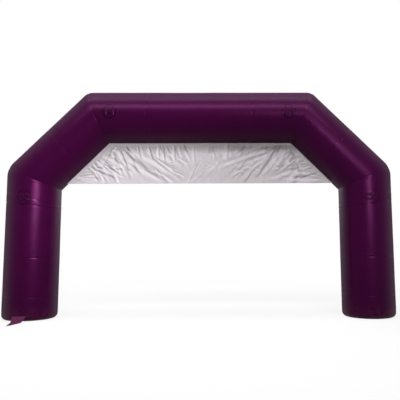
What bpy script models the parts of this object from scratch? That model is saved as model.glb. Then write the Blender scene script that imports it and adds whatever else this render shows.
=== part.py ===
# Inflatable finish line arch
#
# A sealed tube of coated fabric is welded up from panels: two upright legs, two sloping diagonals and
# a level beam, all of one diameter and mitred into each other. It carries a wrinkled cloth banner
# under the beam, round patches with webbing and D-rings for guy lines, triangular ground tabs with
# eyelets, and two air valves on the back of the legs.
#
# Metres, +Z up, the span along X, the front towards -Y, the feet on Z = 0.

import math

import bmesh
import bpy
from mathutils import Matrix, Vector

# Centre line of the tube
LEG_SPACING = 6.93
SHOULDER_HEIGHT = 2.85
BEAM_HEIGHT = 4.165
DIAGONAL_SLOPE = math.radians(45)
TUBE_RADIUS = 0.535
SHOULDER_ROUNDING = 0.40
BEAM_CORNER_ROUNDING = 0.25
FOOT_ROUNDING = 0.10

# Fabric panels and their lapped, welded seams
SKIN = 0.0009
GAP = 0.0003
SEAM_LAP = 0.05
PATCH_SEAM_LAP = 0.13
SEAM_STEP = 0.012
FOOT_SEAM_HEIGHT = 0.44
KNEE_SEAM_HEIGHT = 1.20
PATCH_SEAM_HEIGHT = 2.29
DIAGONAL_SEAM_SHARE = 0.5
BEAM_SEAM_REACH = 1.10

# Guy points: round patch, folded webbing, D-ring
LEG_GUY_HEIGHT = 2.42
BEAM_GUY_REACH = 1.82
PATCH_RADIUS = 0.15
PATCH_THICKNESS = 0.0012
WEBBING_WIDTH = 0.050
WEBBING_THICKNESS = 0.0022
WEBBING_TAIL = 0.052
RING_WIRE_RADIUS = 0.004
RING_CLEARANCE = 0.0005
RING_SIDE_PLAY = 0.001
RING_STRAIGHT = 0.010
RING_DROP = 0.014

# Ground tabs
TAB_WIDTH = 0.26
TAB_LENGTH = 0.52
TAB_THICKNESS = 0.0018
TAB_HINGE_HEIGHT = 0.105
TAB_SLOPE_REACH = 0.12
TAB_TIP_WIDTH = 0.055
TAB_STRIP_HEIGHT = 0.040
TAB_STRIP_THICKNESS = 0.0015
TAB_STRIP_CLEARANCE = 0.003
EYELET_BORE_RADIUS = 0.010
EYELET_HOLE_RADIUS = 0.0125
EYELET_FLANGE_RADIUS = 0.019
EYELET_FLANGE_THICKNESS = 0.001
EYELET_FROM_TIP = 0.055

# Banner
BANNER_BOTTOM_HEIGHT = 2.76
BANNER_CLOTH = 0.0012
BANNER_FLANGE = 0.030
BANNER_HEM = 0.030
BANNER_FOLD_DEPTH = 0.022
GRIP_STRIP_WIDTH = 0.040
GRIP_STRIP_THICKNESS = 0.002
GRIP_STRIP_END_CLEARANCE = 0.010

# Air valves, measured outwards from the skin's outer face
VALVE_HEIGHT = 0.80
VALVE_FLANGE_RADIUS = 0.042
VALVE_FLANGE_THICKNESS = 0.003
VALVE_BARREL_RADIUS = 0.0255
VALVE_BARREL_WALL = 0.0045
VALVE_BARREL_DEPTH = 0.030
VALVE_COLLAR_HEIGHT = 0.010
VALVE_HOLE_CLEARANCE = 0.0005
VALVE_SEAT_WIDTH = 0.004
VALVE_SEAT_THICKNESS = 0.003
VALVE_HUB_RADIUS = 0.005
VALVE_HUB_HEIGHT = 0.006
VALVE_SPOKE_WIDTH = 0.003
VALVE_NUT_WIDTH = 0.010
VALVE_NUT_THICKNESS = 0.006
STEM_RADIUS = 0.0025
STEM_CLEARANCE = 0.0003
STEM_HEAD_RADIUS = 0.0085
STEM_HEAD_THICKNESS = 0.002
POPPET_OVERLAP = 0.002
POPPET_THICKNESS = 0.003
SPRING_SPACE = 0.014
SPRING_WIRE_RADIUS = 0.0006
SPRING_COIL_RADIUS = 0.0058
CAP_RADIUS = 0.029
CAP_THICKNESS = 0.003
CAP_PLUG_DEPTH = 0.004
CAP_PLUG_WALL = 0.002
CAP_PLUG_CLEARANCE = 0.0015
CAP_LIP_LENGTH = 0.008
CAP_LIP_WIDTH = 0.016
CAP_HINGE_REACH = 0.036
CAP_KNUCKLE_RADIUS = 0.003
CAP_KNUCKLE_WIDTH = 0.012
CAP_EAR_WIDTH = 0.003
CAP_PIN_RADIUS = 0.0014
CAP_PIN_CLEARANCE = 0.0004
CUT_OVERRUN = 0.004

# Facet and step counts
TUBE_SIDES = 32
FOOT_STEPS = 3
PATCH_SIDES = 24
EYE_STEPS = 10
RING_BOW_STEPS = 7
RING_WIRE_SIDES = 6
EYELET_SIDES = 12
BANNER_COLUMNS = 32
BANNER_ROWS = 8
BANNER_FOLDS = 5
VALVE_SIDES = 20
STEM_SIDES = 10
SPRING_TURNS = 5
SPRING_STEPS_PER_TURN = 8
SPRING_WIRE_SIDES = 4
SPOKES = 3

# Sizes that follow from the ones above
FACET_ANGLE = 2 * math.pi / TUBE_SIDES
LEG_REACH = LEG_SPACING / 2
BEAM_REACH = LEG_REACH - (BEAM_HEIGHT - SHOULDER_HEIGHT) / math.tan(DIAGONAL_SLOPE)
SHOULDER_TURN = math.pi / 2 - DIAGONAL_SLOPE
CORNER_TURN = DIAGONAL_SLOPE
LAP_LIFT = GAP + SKIN
PATCH_SEAM_TOP = PATCH_SEAM_HEIGHT + PATCH_SEAM_LAP
EYE_RADIUS = RING_WIRE_RADIUS + RING_CLEARANCE + WEBBING_THICKNESS
GRIP_LIFT = LAP_LIFT + GAP
BANNER_LIFT = GRIP_LIFT + GRIP_STRIP_THICKNESS + GAP + BANNER_CLOTH / 2
BARREL_BORE = VALVE_BARREL_RADIUS - VALVE_BARREL_WALL
SEAT_BORE = BARREL_BORE - VALVE_SEAT_WIDTH
CAP_HINGE_HEIGHT = VALVE_COLLAR_HEIGHT + GAP + CAP_KNUCKLE_RADIUS
CAP_PLUG_RADIUS = BARREL_BORE - CAP_PLUG_CLEARANCE


def start_clean():
    """Remove the objects of the scene that the script starts from."""
    for thing in list(bpy.data.objects):
        bpy.data.objects.remove(thing, do_unlink=True)


def material(name, colour, roughness, metallic=0.0):
    """A Principled material of one colour, made once."""
    found = bpy.data.materials.get(name)
    if found:
        return found
    made = bpy.data.materials.new(name)
    made.use_nodes = True
    shader = made.node_tree.nodes["Principled BSDF"]
    shader.inputs["Base Color"].default_value = (*colour, 1.0)
    shader.inputs["Roughness"].default_value = roughness
    shader.inputs["Metallic"].default_value = metallic
    made.diffuse_color = (*colour, 1.0)
    return made


def purple_skin():
    return material("purple coated fabric", (0.045, 0.003, 0.034), 0.36)


def purple_trim():
    return material("purple trim fabric", (0.075, 0.008, 0.058), 0.45)


def webbing_cloth():
    return material("plum webbing", (0.030, 0.004, 0.024), 0.75)


def bright_steel():
    return material("bright steel", (0.62, 0.62, 0.64), 0.25, 1.0)


def white_cloth():
    return material("white satin cloth", (0.74, 0.71, 0.74), 0.5)


def grip_cloth():
    return material("dark hook and loop", (0.02, 0.015, 0.02), 0.9)


def valve_plastic():
    return material("black valve plastic", (0.02, 0.02, 0.022), 0.4)


def poppet_rubber():
    return material("grey seal rubber", (0.12, 0.12, 0.12), 0.7)


def finish(mesh, name, look):
    """Turn a bmesh into a named object with its faces outwards and its round sides smooth."""
    bmesh.ops.recalc_face_normals(mesh, faces=mesh.faces)
    data = bpy.data.meshes.new(name)
    mesh.to_mesh(data)
    mesh.free()
    data.shade_smooth()
    data.set_sharp_from_angle(angle=math.radians(35))
    data.materials.append(look)
    thing = bpy.data.objects.new(name, data)
    bpy.context.scene.collection.objects.link(thing)
    return thing


def share_mesh(name, original):
    """Another object with the mesh of `original`."""
    thing = bpy.data.objects.new(name, original.data)
    bpy.context.scene.collection.objects.link(thing)
    return thing


def combined(target, tool, operation):
    """`target` with `tool` joined to it, cut from it or kept in common, and `tool` used up."""
    step = target.modifiers.new("combine", "BOOLEAN")
    step.operation = operation
    step.object = tool
    bpy.context.view_layer.update()
    whole = target.evaluated_get(bpy.context.evaluated_depsgraph_get())
    data = bpy.data.meshes.new_from_object(whole)
    data.set_sharp_from_angle(angle=math.radians(35))
    target.modifiers.clear()
    target.data = data
    bpy.data.objects.remove(tool, do_unlink=True)
    return target


def band(mesh, first, second):
    """Faces between two rings of vertices, each quad split along the same diagonal."""
    for i, j in zip(range(len(first)), (*range(1, len(first)), 0)):
        mesh.faces.new((first[i], first[j], second[j]))
        mesh.faces.new((first[i], second[j], second[i]))


def fan(mesh, ring, tip):
    """Faces from a ring of vertices to one vertex."""
    for i, j in zip(range(len(ring)), (*range(1, len(ring)), 0)):
        mesh.faces.new((ring[i], ring[j], tip))


def turned(name, profile, sides, look, closed=True):
    """A solid turned about Z from (radius, height) points, which close on themselves or end on the axis."""
    mesh = bmesh.new()
    rings = []
    for radius, height in profile:
        if radius == 0:
            rings.append([mesh.verts.new((0, 0, height))])
            continue
        ring = []
        for side in range(sides):
            angle = 2 * math.pi * side / sides
            ring.append(mesh.verts.new((radius * math.cos(angle), radius * math.sin(angle), height)))
        rings.append(ring)
    pairs = list(zip(rings, rings[1:]))
    if closed:
        pairs.append((rings[-1], rings[0]))
    for first, second in pairs:
        if len(first) == 1:
            fan(mesh, second, first[0])
        elif len(second) == 1:
            fan(mesh, first, second[0])
        else:
            band(mesh, first, second)
    return finish(mesh, name, look)


def extruded(name, outline, low, high, look, axis="z"):
    """A straight prism of an outline, between two places along an axis."""
    placed = {
        "x": lambda across, up, at: (at, across, up),
        "z": lambda across, up, at: (across, up, at),
    }[axis]
    mesh = bmesh.new()
    bottom = [mesh.verts.new(placed(*point, low)) for point in outline]
    top = [mesh.verts.new(placed(*point, high)) for point in outline]
    mesh.faces.new(bottom)
    mesh.faces.new(top)
    for i, j in zip(range(len(outline)), (*range(1, len(outline)), 0)):
        mesh.faces.new((bottom[i], bottom[j], top[j], top[i]))
    return finish(mesh, name, look)


def box(name, low, high, look):
    """A box between two corners."""
    outline = [(low[0], low[1]), (high[0], low[1]), (high[0], high[1]), (low[0], high[1])]
    return extruded(name, outline, low[2], high[2], look)


def swept(name, path, radius, sides, across, look, closed=True):
    """A round wire along a path. `across(i)` gives the two directions of the wire's section at point i."""
    mesh = bmesh.new()
    rings = []
    for i, point in enumerate(path):
        first, second = across(i)
        ring = []
        for side in range(sides):
            angle = 2 * math.pi * (side + 0.5) / sides
            ring.append(mesh.verts.new(point + radius * (math.cos(angle) * first + math.sin(angle) * second)))
        rings.append(ring)
    for first, second in zip(rings, rings[1:]):
        band(mesh, first, second)
    if closed:
        band(mesh, rings[-1], rings[0])
    else:
        mesh.faces.new(rings[0])
        mesh.faces.new(rings[-1])
    return finish(mesh, name, look)


class Run:
    """One straight run of the tube in the XZ plane, between a mitre before it and one after it."""

    def __init__(self, start, slope, length, turns, roundings):
        self.start = Vector((start[0], 0, start[1]))
        self.along = Vector((math.cos(slope), 0, math.sin(slope)))
        self.outwards = Vector((-math.sin(slope), 0, math.cos(slope)))
        self.length = length
        self.turns = turns
        self.roundings = roundings

    def drawn_in(self, end, distance):
        """How far the outer corner's rounding draws the skin in, this far from a mitre."""
        half_turn = math.tan(self.turns[end] / 2)
        rounding = self.roundings[end]
        left = max(0, rounding * half_turn - distance)
        return left * left / (2 * rounding) if left else 0

    def ring(self, mark, lift):
        """Corners of the tube's section, `lift` outside the skin's outer face.

        `mark` is ("square", place along the run), or ("before", distance) or ("after", distance) from
        the mitre at that end of the run, measured along the skin.
        """
        kind, distance = mark
        points = []
        for side in range(TUBE_SIDES):
            angle = (side + 0.5) * FACET_ANGLE
            end = 0 if kind == "before" else 1
            inwards = 0 if kind == "square" else self.drawn_in(end, distance) * max(0, math.cos(angle))
            radius = (TUBE_RADIUS + lift - inwards) / math.cos(FACET_ANGLE / 2)
            out = radius * math.cos(angle)
            lean = out * math.tan(self.turns[end] / 2)
            place = {
                "square": distance,
                "before": distance - lean,
                "after": self.length + lean - distance,
            }[kind]
            points.append(
                self.start
                + self.along * place
                + self.outwards * out
                + Vector((0, radius * math.sin(angle), 0))
            )
        return points


LEG = Run(
    (-LEG_REACH, 0),
    math.pi / 2,
    SHOULDER_HEIGHT,
    (0, SHOULDER_TURN),
    (SHOULDER_ROUNDING, SHOULDER_ROUNDING),
)
DIAGONAL = Run(
    (-LEG_REACH, SHOULDER_HEIGHT),
    DIAGONAL_SLOPE,
    (BEAM_HEIGHT - SHOULDER_HEIGHT) / math.sin(DIAGONAL_SLOPE),
    (SHOULDER_TURN, CORNER_TURN),
    (SHOULDER_ROUNDING, BEAM_CORNER_ROUNDING),
)
BEAM = Run(
    (-BEAM_REACH, BEAM_HEIGHT),
    0,
    2 * BEAM_REACH,
    (CORNER_TURN, CORNER_TURN),
    (BEAM_CORNER_ROUNDING, BEAM_CORNER_ROUNDING),
)


def mirrored(points):
    """The same points on the other side of the arch."""
    return [Vector((-point.x, point.y, point.z)) for point in points]


def skin_wall(name, stations, right_side=False, base=False):
    """A fabric wall through its stations of (run, mark, lift of the inner face).

    Both ends are open, unless `base` closes the first station with a flat round floor.
    """
    mesh = bmesh.new()
    faces = []
    for thickness in (0, SKIN):
        rings = []
        for run, mark, lift in stations:
            points = run.ring(mark, lift + thickness)
            if right_side:
                points = mirrored(points)
            rings.append([mesh.verts.new(point) for point in points])
        faces.append(rings)
    inner, outer = faces
    for rings in faces:
        for first, second in zip(rings, rings[1:]):
            band(mesh, first, second)
    band(mesh, inner[-1], outer[-1])
    if base:
        mesh.faces.new(inner[0])
        mesh.faces.new(outer[0])
    else:
        band(mesh, inner[0], outer[0])
    return finish(mesh, name, purple_skin())


def under_mitre(run):
    """Stations of a wall that ends at the mitre after its run, where the next wall laps over it."""
    rounding = run.roundings[1] * math.tan(run.turns[1] / 2)
    marks = sorted({rounding, SEAM_LAP, 0}, reverse=True)
    return [(run, ("after", distance), -SKIN) for distance in marks]


def over_mitre(run_before, run):
    """Stations of a wall that laps back over a mitre and then steps down to its own run."""
    rounding = run.roundings[0] * math.tan(run.turns[0] / 2)
    return [
        (run_before, ("after", SEAM_LAP), GAP),
        (run_before, ("after", 0), GAP),
        (run, ("before", SEAM_STEP), -SKIN),
        (run, ("before", rounding), -SKIN),
    ]


def over_seam(run, seam, lap):
    """Stations of a wall that laps back over the wall before it, square to the run."""
    return [
        (run, ("square", seam), GAP),
        (run, ("square", seam + lap), GAP),
        (run, ("square", seam + lap + SEAM_STEP), -SKIN),
    ]


def foot_boot(name, right_side):
    """The foot: a cup with a flat round floor and a rounded lower edge."""
    mesh = bmesh.new()
    top = FOOT_SEAM_HEIGHT + SEAM_LAP
    walls = []
    for depth in (SKIN, 0):
        rings = []
        for step in range(FOOT_STEPS + 1):
            angle = step / FOOT_STEPS * math.pi / 2
            lift = -FOOT_ROUNDING + (FOOT_ROUNDING - depth) * math.sin(angle)
            height = FOOT_ROUNDING - (FOOT_ROUNDING - depth) * math.cos(angle)
            rings.append(LEG.ring(("square", height), lift))
        rings.append(LEG.ring(("square", top), -depth))
        if right_side:
            rings = [mirrored(points) for points in rings]
        walls.append([[mesh.verts.new(point) for point in points] for points in rings])
    for rings in walls:
        mesh.faces.new(rings[0])
        for first, second in zip(rings, rings[1:]):
            band(mesh, first, second)
    band(mesh, walls[0][-1], walls[1][-1])
    return finish(mesh, name, purple_skin())


def leg_panels(side, right_side):
    """The walls of one leg above its boot, each lapping over the one below."""
    diagonal_seam = DIAGONAL_SEAM_SHARE * DIAGONAL.length - SEAM_LAP
    foot_boot(f"{side}_foot_boot", right_side)
    skin_wall(
        f"{side}_leg_lower",
        over_seam(LEG, FOOT_SEAM_HEIGHT, SEAM_LAP)
        + [(LEG, ("square", KNEE_SEAM_HEIGHT + SEAM_LAP), -SKIN)],
        right_side,
    )
    skin_wall(
        f"{side}_leg_upper",
        over_seam(LEG, KNEE_SEAM_HEIGHT, SEAM_LAP) + [(LEG, ("square", PATCH_SEAM_TOP), -SKIN)],
        right_side,
    )
    skin_wall(
        f"{side}_shoulder",
        over_seam(LEG, PATCH_SEAM_HEIGHT, PATCH_SEAM_LAP) + under_mitre(LEG),
        right_side,
    )
    skin_wall(
        f"{side}_diagonal_lower",
        over_mitre(LEG, DIAGONAL) + [(DIAGONAL, ("square", diagonal_seam + SEAM_LAP), -SKIN)],
        right_side,
    )
    skin_wall(
        f"{side}_diagonal_upper",
        over_seam(DIAGONAL, diagonal_seam, SEAM_LAP) + under_mitre(DIAGONAL),
        right_side,
    )


def beam_panels():
    """The beam's end walls, and the middle wall that laps over both."""
    seam = BEAM_REACH - BEAM_SEAM_REACH
    for side, right_side in (("left", False), ("right", True)):
        skin_wall(
            f"{side}_beam_end",
            over_mitre(DIAGONAL, BEAM) + [(BEAM, ("square", seam + SEAM_LAP), -SKIN)],
            right_side,
        )
    middle = over_seam(BEAM, seam, SEAM_LAP)
    other_end = [(run, ("square", BEAM.length - mark[1]), lift) for run, mark, lift in reversed(middle)]
    skin_wall("beam_centre", middle + other_end)


def facet_line(reach, lift):
    """Plan points along the front facets of an upright tube, from -reach to +reach in X."""
    flat = TUBE_RADIUS + lift
    corner = flat / math.cos(FACET_ANGLE / 2)
    last = math.floor(math.asin(reach / corner) / FACET_ANGLE + 0.5)
    half = [
        (corner * math.sin((k + 0.5) * FACET_ANGLE), -corner * math.cos((k + 0.5) * FACET_ANGLE))
        for k in range(last)
    ]
    tilt = last * FACET_ANGLE
    half.append((reach, -(flat - reach * math.sin(tilt)) / math.cos(tilt)))
    return [(-x, y) for x, y in reversed(half)] + half


def wrapped_plate(name, reach, low, high, lift, thickness, look):
    """A plate that lies against the front of an upright tube, whose axis is at the origin."""
    outline = facet_line(reach, lift + thickness) + facet_line(reach, lift)[::-1]
    return extruded(name, outline, low, high, look)


def patch_shape(name):
    """A round fabric patch on the front of an upright tube, with its own origin on the flat facet."""
    reach = PATCH_RADIUS + CUT_OVERRUN
    plate = wrapped_plate(name, reach, -reach, reach, 0, PATCH_THICKNESS, purple_trim())
    plate.data.transform(Matrix.Translation((0, TUBE_RADIUS, 0)))
    outline = []
    for side in range(PATCH_SIDES):
        angle = 2 * math.pi * (side + 0.5) / PATCH_SIDES
        outline.append((PATCH_RADIUS * math.cos(angle), PATCH_RADIUS * math.sin(angle)))
    punch = extruded("patch_punch", outline, -PATCH_RADIUS, PATCH_RADIUS, purple_trim())
    punch.data.transform(Matrix.Rotation(math.pi / 2, 4, "X"))
    return combined(plate, punch, "INTERSECT")


def ribbon_outline(path, thickness):
    """The outline of a strip of even thickness along a path in one plane."""
    sides = ([], [])
    for i, here in enumerate(path):
        before = path[max(0, i - 1)]
        after = path[min(len(path) - 1, i + 1)]
        came = (here - before).normalized() if i else (after - here).normalized()
        goes = (after - here).normalized() if i < len(path) - 1 else came
        middle = (came + goes).normalized()
        square = Vector((-middle.y, middle.x)) * thickness / 2 / max(0.5, middle.dot(goes))
        sides[0].append(here + square)
        sides[1].append(here - square)
    return [tuple(point) for point in sides[0] + sides[1][::-1]]


def webbing_shape(name):
    """Webbing folded round the ring's bar: both tails lie on the patch, one on the other.

    The origin is on the bar's axis, and the patch lies towards +Y.
    """
    loop_radius = EYE_RADIUS - WEBBING_THICKNESS / 2
    outer_tail = loop_radius - WEBBING_THICKNESS - GAP
    meeting = math.acos(outer_tail / loop_radius)
    path = [Vector((loop_radius, WEBBING_TAIL))]
    for step in range(EYE_STEPS + 1):
        angle = -step / EYE_STEPS * (2 * math.pi - meeting)
        path.append(Vector((loop_radius * math.cos(angle), loop_radius * math.sin(angle))))
    path.append(Vector((outer_tail, WEBBING_TAIL)))
    outline = ribbon_outline(path, WEBBING_THICKNESS)
    return extruded(name, outline, -WEBBING_WIDTH / 2, WEBBING_WIDTH / 2, webbing_cloth(), axis="x")


def ring_path():
    """Centre line of the D: a straight bar above, two short sides and a half-round bow below."""
    reach = WEBBING_WIDTH / 2 + RING_SIDE_PLAY + RING_WIRE_RADIUS
    corner = RING_WIRE_RADIUS - RING_SIDE_PLAY
    points = [(-reach + corner, 0), (reach - corner, 0), (reach, -corner)]
    for step in range(RING_BOW_STEPS + 1):
        angle = step / RING_BOW_STEPS * math.pi
        points.append((reach * math.cos(angle), -RING_STRAIGHT - reach * math.sin(angle)))
    points.append((-reach, -corner))
    return [Vector((x, 0, z)) for x, z in points]


def ring_shape(name):
    """A steel D-ring that hangs from its bar, with the bar's axis along X through the origin."""
    path = ring_path()

    def across(i):
        before, here, after = path[i - 1], path[i], path[(i + 1) % len(path)]
        came = (here - before).normalized()
        goes = (after - here).normalized()
        middle = (came + goes).normalized()
        inwards = Vector((-middle.z, 0, middle.x)) / middle.dot(goes)
        return inwards, Vector((0, 1, 0))

    return swept(name, path, RING_WIRE_RADIUS, RING_WIRE_SIDES, across, bright_steel())


def guy_points():
    """Eight guy points: on the front and the back of each leg and of each end of the beam."""
    shapes = {}
    places = {
        "left_leg": (-LEG_REACH, LEG_GUY_HEIGHT, False),
        "right_leg": (LEG_REACH, LEG_GUY_HEIGHT, False),
        "left_beam": (-BEAM_GUY_REACH, BEAM_HEIGHT, True),
        "right_beam": (BEAM_GUY_REACH, BEAM_HEIGHT, True),
    }
    for where, (x, z, on_beam) in places.items():
        for face, turn in (("front", 0), ("back", math.pi)):
            name = f"{where}_{face}"
            outwards = -math.cos(turn)
            lift = (0 if on_beam else LAP_LIFT) + GAP
            skin_face = TUBE_RADIUS + lift
            bar = skin_face + PATCH_THICKNESS + GAP + EYE_RADIUS
            kinds = (
                ("patch", patch_shape, skin_face, z, (0, math.pi / 2 if on_beam else 0, turn)),
                ("webbing", webbing_shape, bar, z - RING_DROP, (0, 0, turn)),
                ("d_ring", ring_shape, bar, z - RING_DROP, (0, 0, turn)),
            )
            for kind, shape, depth, height, rotation in kinds:
                if kind in shapes:
                    piece = share_mesh(f"{name}_{kind}", shapes[kind])
                else:
                    piece = shape(f"{name}_{kind}")
                    shapes[kind] = piece
                piece.location = (x, outwards * depth, height)
                piece.rotation_euler = rotation


def tab_shape(name):
    """A triangular fabric tab that drops from the boot's wall to the ground and runs out to a blunt tip.

    Its origin is on the line that it folds about. The base row follows the round wall.
    """
    wall = TUBE_RADIUS + GAP + TAB_THICKNESS / 2
    ground = EYELET_FLANGE_THICKNESS + GAP + TAB_THICKNESS / 2 - TAB_HINGE_HEIGHT
    base = [(x, y + wall) for x, y in facet_line(TAB_WIDTH / 2, GAP + TAB_THICKNESS / 2)]
    slope_shares = (0, 0.5, 1)
    flat_shares = (0.35, 0.7, 1)
    flat_length = TAB_LENGTH - math.hypot(TAB_SLOPE_REACH, ground)
    rows = [(share * TAB_SLOPE_REACH, share * ground, share) for share in slope_shares]
    rows += [(TAB_SLOPE_REACH + share * flat_length, ground, 1) for share in flat_shares]
    reach = TAB_SLOPE_REACH + flat_length
    mesh = bmesh.new()
    grid = []
    for out, height, straightness in rows:
        narrowing = 1 - (1 - TAB_TIP_WIDTH / TAB_WIDTH) * out / reach
        grid.append(
            [mesh.verts.new((x * narrowing, y * (1 - straightness) - out, height)) for x, y in base]
        )
    for first, second in zip(grid, grid[1:]):
        for i in range(len(base) - 1):
            mesh.faces.new((first[i], second[i], second[i + 1], first[i + 1]))
    tab = finish(mesh, name, purple_trim())
    thick = tab.modifiers.new("thickness", "SOLIDIFY")
    thick.thickness = TAB_THICKNESS
    thick.offset = 0
    thick.use_even_offset = True
    bpy.context.view_layer.update()
    tab.data = bpy.data.meshes.new_from_object(tab.evaluated_get(bpy.context.evaluated_depsgraph_get()))
    tab.modifiers.clear()
    punch = turned(
        "eyelet_punch",
        [(0, ground - CUT_OVERRUN), (EYELET_HOLE_RADIUS, ground - CUT_OVERRUN),
         (EYELET_HOLE_RADIUS, ground + CUT_OVERRUN), (0, ground + CUT_OVERRUN)],
        EYELET_SIDES,
        purple_trim(),
        closed=False,
    )
    punch.data.transform(Matrix.Translation((0, EYELET_FROM_TIP - reach, 0)))
    return combined(tab, punch, "DIFFERENCE"), reach, ground


def eyelet_shape(name):
    """A metal eyelet that grips both faces of a tab, with its origin at mid-thickness on its bore's axis."""
    grip = TAB_THICKNESS / 2 + GAP
    face = grip + EYELET_FLANGE_THICKNESS
    barrel = EYELET_HOLE_RADIUS - GAP
    profile = [
        (EYELET_BORE_RADIUS, -face), (EYELET_FLANGE_RADIUS, -face), (EYELET_FLANGE_RADIUS, -grip),
        (barrel, -grip), (barrel, grip), (EYELET_FLANGE_RADIUS, grip), (EYELET_FLANGE_RADIUS, face),
        (EYELET_BORE_RADIUS, face),
    ]
    return turned(name, profile, EYELET_SIDES, bright_steel())


def ground_tabs():
    """Three ground tabs, each with a welded strip on the boot and an eyelet near its tip.

    The strip stays far enough above the fold for the tab to turn up to the upright.
    """
    strip_low = TAB_HINGE_HEIGHT + TAB_THICKNESS / 2 + TAB_STRIP_CLEARANCE
    first = None
    places = (("left_front", -LEG_REACH, 0), ("left_back", -LEG_REACH, math.pi),
              ("right_back", LEG_REACH, math.pi))
    for where, x, turn in places:
        outwards = -math.cos(turn)
        if first is None:
            strip = wrapped_plate(
                f"{where}_tab_strip", TAB_WIDTH / 2, strip_low, strip_low + TAB_STRIP_HEIGHT,
                GAP, TAB_STRIP_THICKNESS, purple_trim(),
            )
            tab, reach, ground = tab_shape(f"{where}_ground_tab")
            eyelet = eyelet_shape(f"{where}_tab_eyelet")
            first = strip, tab, eyelet
        else:
            strip = share_mesh(f"{where}_tab_strip", first[0])
            tab = share_mesh(f"{where}_ground_tab", first[1])
            eyelet = share_mesh(f"{where}_tab_eyelet", first[2])
        hinge = TUBE_RADIUS + GAP + TAB_THICKNESS / 2
        strip.location = (x, 0, 0)
        tab.location = (x, outwards * hinge, TAB_HINGE_HEIGHT)
        eyelet.location = (x, outwards * (hinge + reach - EYELET_FROM_TIP), TAB_HINGE_HEIGHT + ground)
        for piece in (strip, tab, eyelet):
            piece.rotation_euler = (0, 0, turn)


def grip_strips():
    """Hook-and-loop strips on the innermost facet of the beam and of both diagonals."""
    side = (BANNER_FLANGE - GRIP_STRIP_WIDTH) / 2
    low = TUBE_RADIUS + GRIP_LIFT
    high = low + GRIP_STRIP_THICKNESS
    beam_end = high * math.tan(CORNER_TURN / 2) + GRIP_STRIP_END_CLEARANCE
    box(
        "beam_grip_strip",
        (-BEAM_REACH + beam_end, side, BEAM_HEIGHT - high),
        (BEAM_REACH - beam_end, side + GRIP_STRIP_WIDTH, BEAM_HEIGHT - low),
        grip_cloth(),
    )
    end = (BEAM_HEIGHT - high - BANNER_BOTTOM_HEIGHT) / math.sin(DIAGONAL_SLOPE)
    for name, mirror, inside in (("left", -1, (low, high)), ("right", 1, (-high, -low))):
        strip = box(
            f"{name}_diagonal_grip_strip",
            (beam_end, side, inside[0]),
            (end, side + GRIP_STRIP_WIDTH, inside[1]),
            grip_cloth(),
        )
        strip.location = (mirror * BEAM_REACH, 0, BEAM_HEIGHT)
        strip.rotation_euler = (0, DIAGONAL_SLOPE if mirror == 1 else math.pi - DIAGONAL_SLOPE, 0)


def banner_fold(across, down):
    """How far the cloth stands out of its plane: creases that fan out from both upper corners."""
    slack = math.sin(math.pi * across) ** 0.5 * math.sin(math.pi / 2 * down) ** 0.7
    depth = 0
    for corner in (across, 1 - across):
        angle = math.atan2(down, 3 * corner)
        depth += (1 - corner) * math.sin(2 * BANNER_FOLDS * angle + corner)
    return BANNER_FOLD_DEPTH * slack * depth


def banner():
    """A cloth banner between the diagonals, with its main folds and a flange along its three held edges.

    A flat hem runs along the held edges, and the folds lie within it.
    """
    depth = TUBE_RADIUS + BANNER_LIFT
    top = BEAM_HEIGHT - depth
    corner = BEAM_REACH - depth * math.tan(CORNER_TURN / 2)
    drop = top - BANNER_BOTTOM_HEIGHT
    rows = [0] + [row / BANNER_ROWS for row in range(BANNER_ROWS + 1)]
    columns = [0] + [column / BANNER_COLUMNS for column in range(BANNER_COLUMNS + 1)] + [1]
    mesh = bmesh.new()
    grid = []
    for i, down in enumerate(rows):
        fall = BANNER_HEM + down * (drop - BANNER_HEM) if i else 0
        reach = corner + fall / math.tan(DIAGONAL_SLOPE)
        points = []
        for j, across in enumerate(columns):
            inside = 0 < j < len(columns) - 1
            x = (2 * across - 1) * (reach - BANNER_HEM if inside else reach)
            points.append(mesh.verts.new((x, banner_fold(across, down), top - fall)))
        grid.append(points)
    for first, second in zip(grid, grid[1:]):
        for i in range(len(columns) - 1):
            mesh.faces.new((first[i], second[i], second[i + 1], first[i + 1]))
    held = [row[0] for row in reversed(grid)] + grid[0][1:-1] + [row[-1] for row in grid]
    back = [mesh.verts.new((point.co.x, BANNER_FLANGE, point.co.z)) for point in held]
    for i in range(len(held) - 1):
        mesh.faces.new((held[i], held[i + 1], back[i + 1], back[i]))
    cloth = finish(mesh, "banner", white_cloth())
    thick = cloth.modifiers.new("thickness", "SOLIDIFY")
    thick.thickness = BANNER_CLOTH
    thick.offset = 0
    thick.use_even_offset = True
    return cloth


def compression_spring(name, height):
    """A helical wire spring that stands on the origin, `height` long."""
    steps = SPRING_TURNS * SPRING_STEPS_PER_TURN
    climb = (height - 2 * SPRING_WIRE_RADIUS) / steps
    path = []
    for step in range(steps + 1):
        angle = 2 * math.pi * step / SPRING_STEPS_PER_TURN
        path.append(
            Vector((
                SPRING_COIL_RADIUS * math.cos(angle),
                SPRING_COIL_RADIUS * math.sin(angle),
                SPRING_WIRE_RADIUS + step * climb,
            ))
        )

    def across(i):
        outwards = Vector((path[i].x, path[i].y, 0)).normalized()
        return outwards, Vector((0, 0, 1))

    return swept(name, path, SPRING_WIRE_RADIUS, SPRING_WIRE_SIDES, across, bright_steel(), closed=False)


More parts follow.
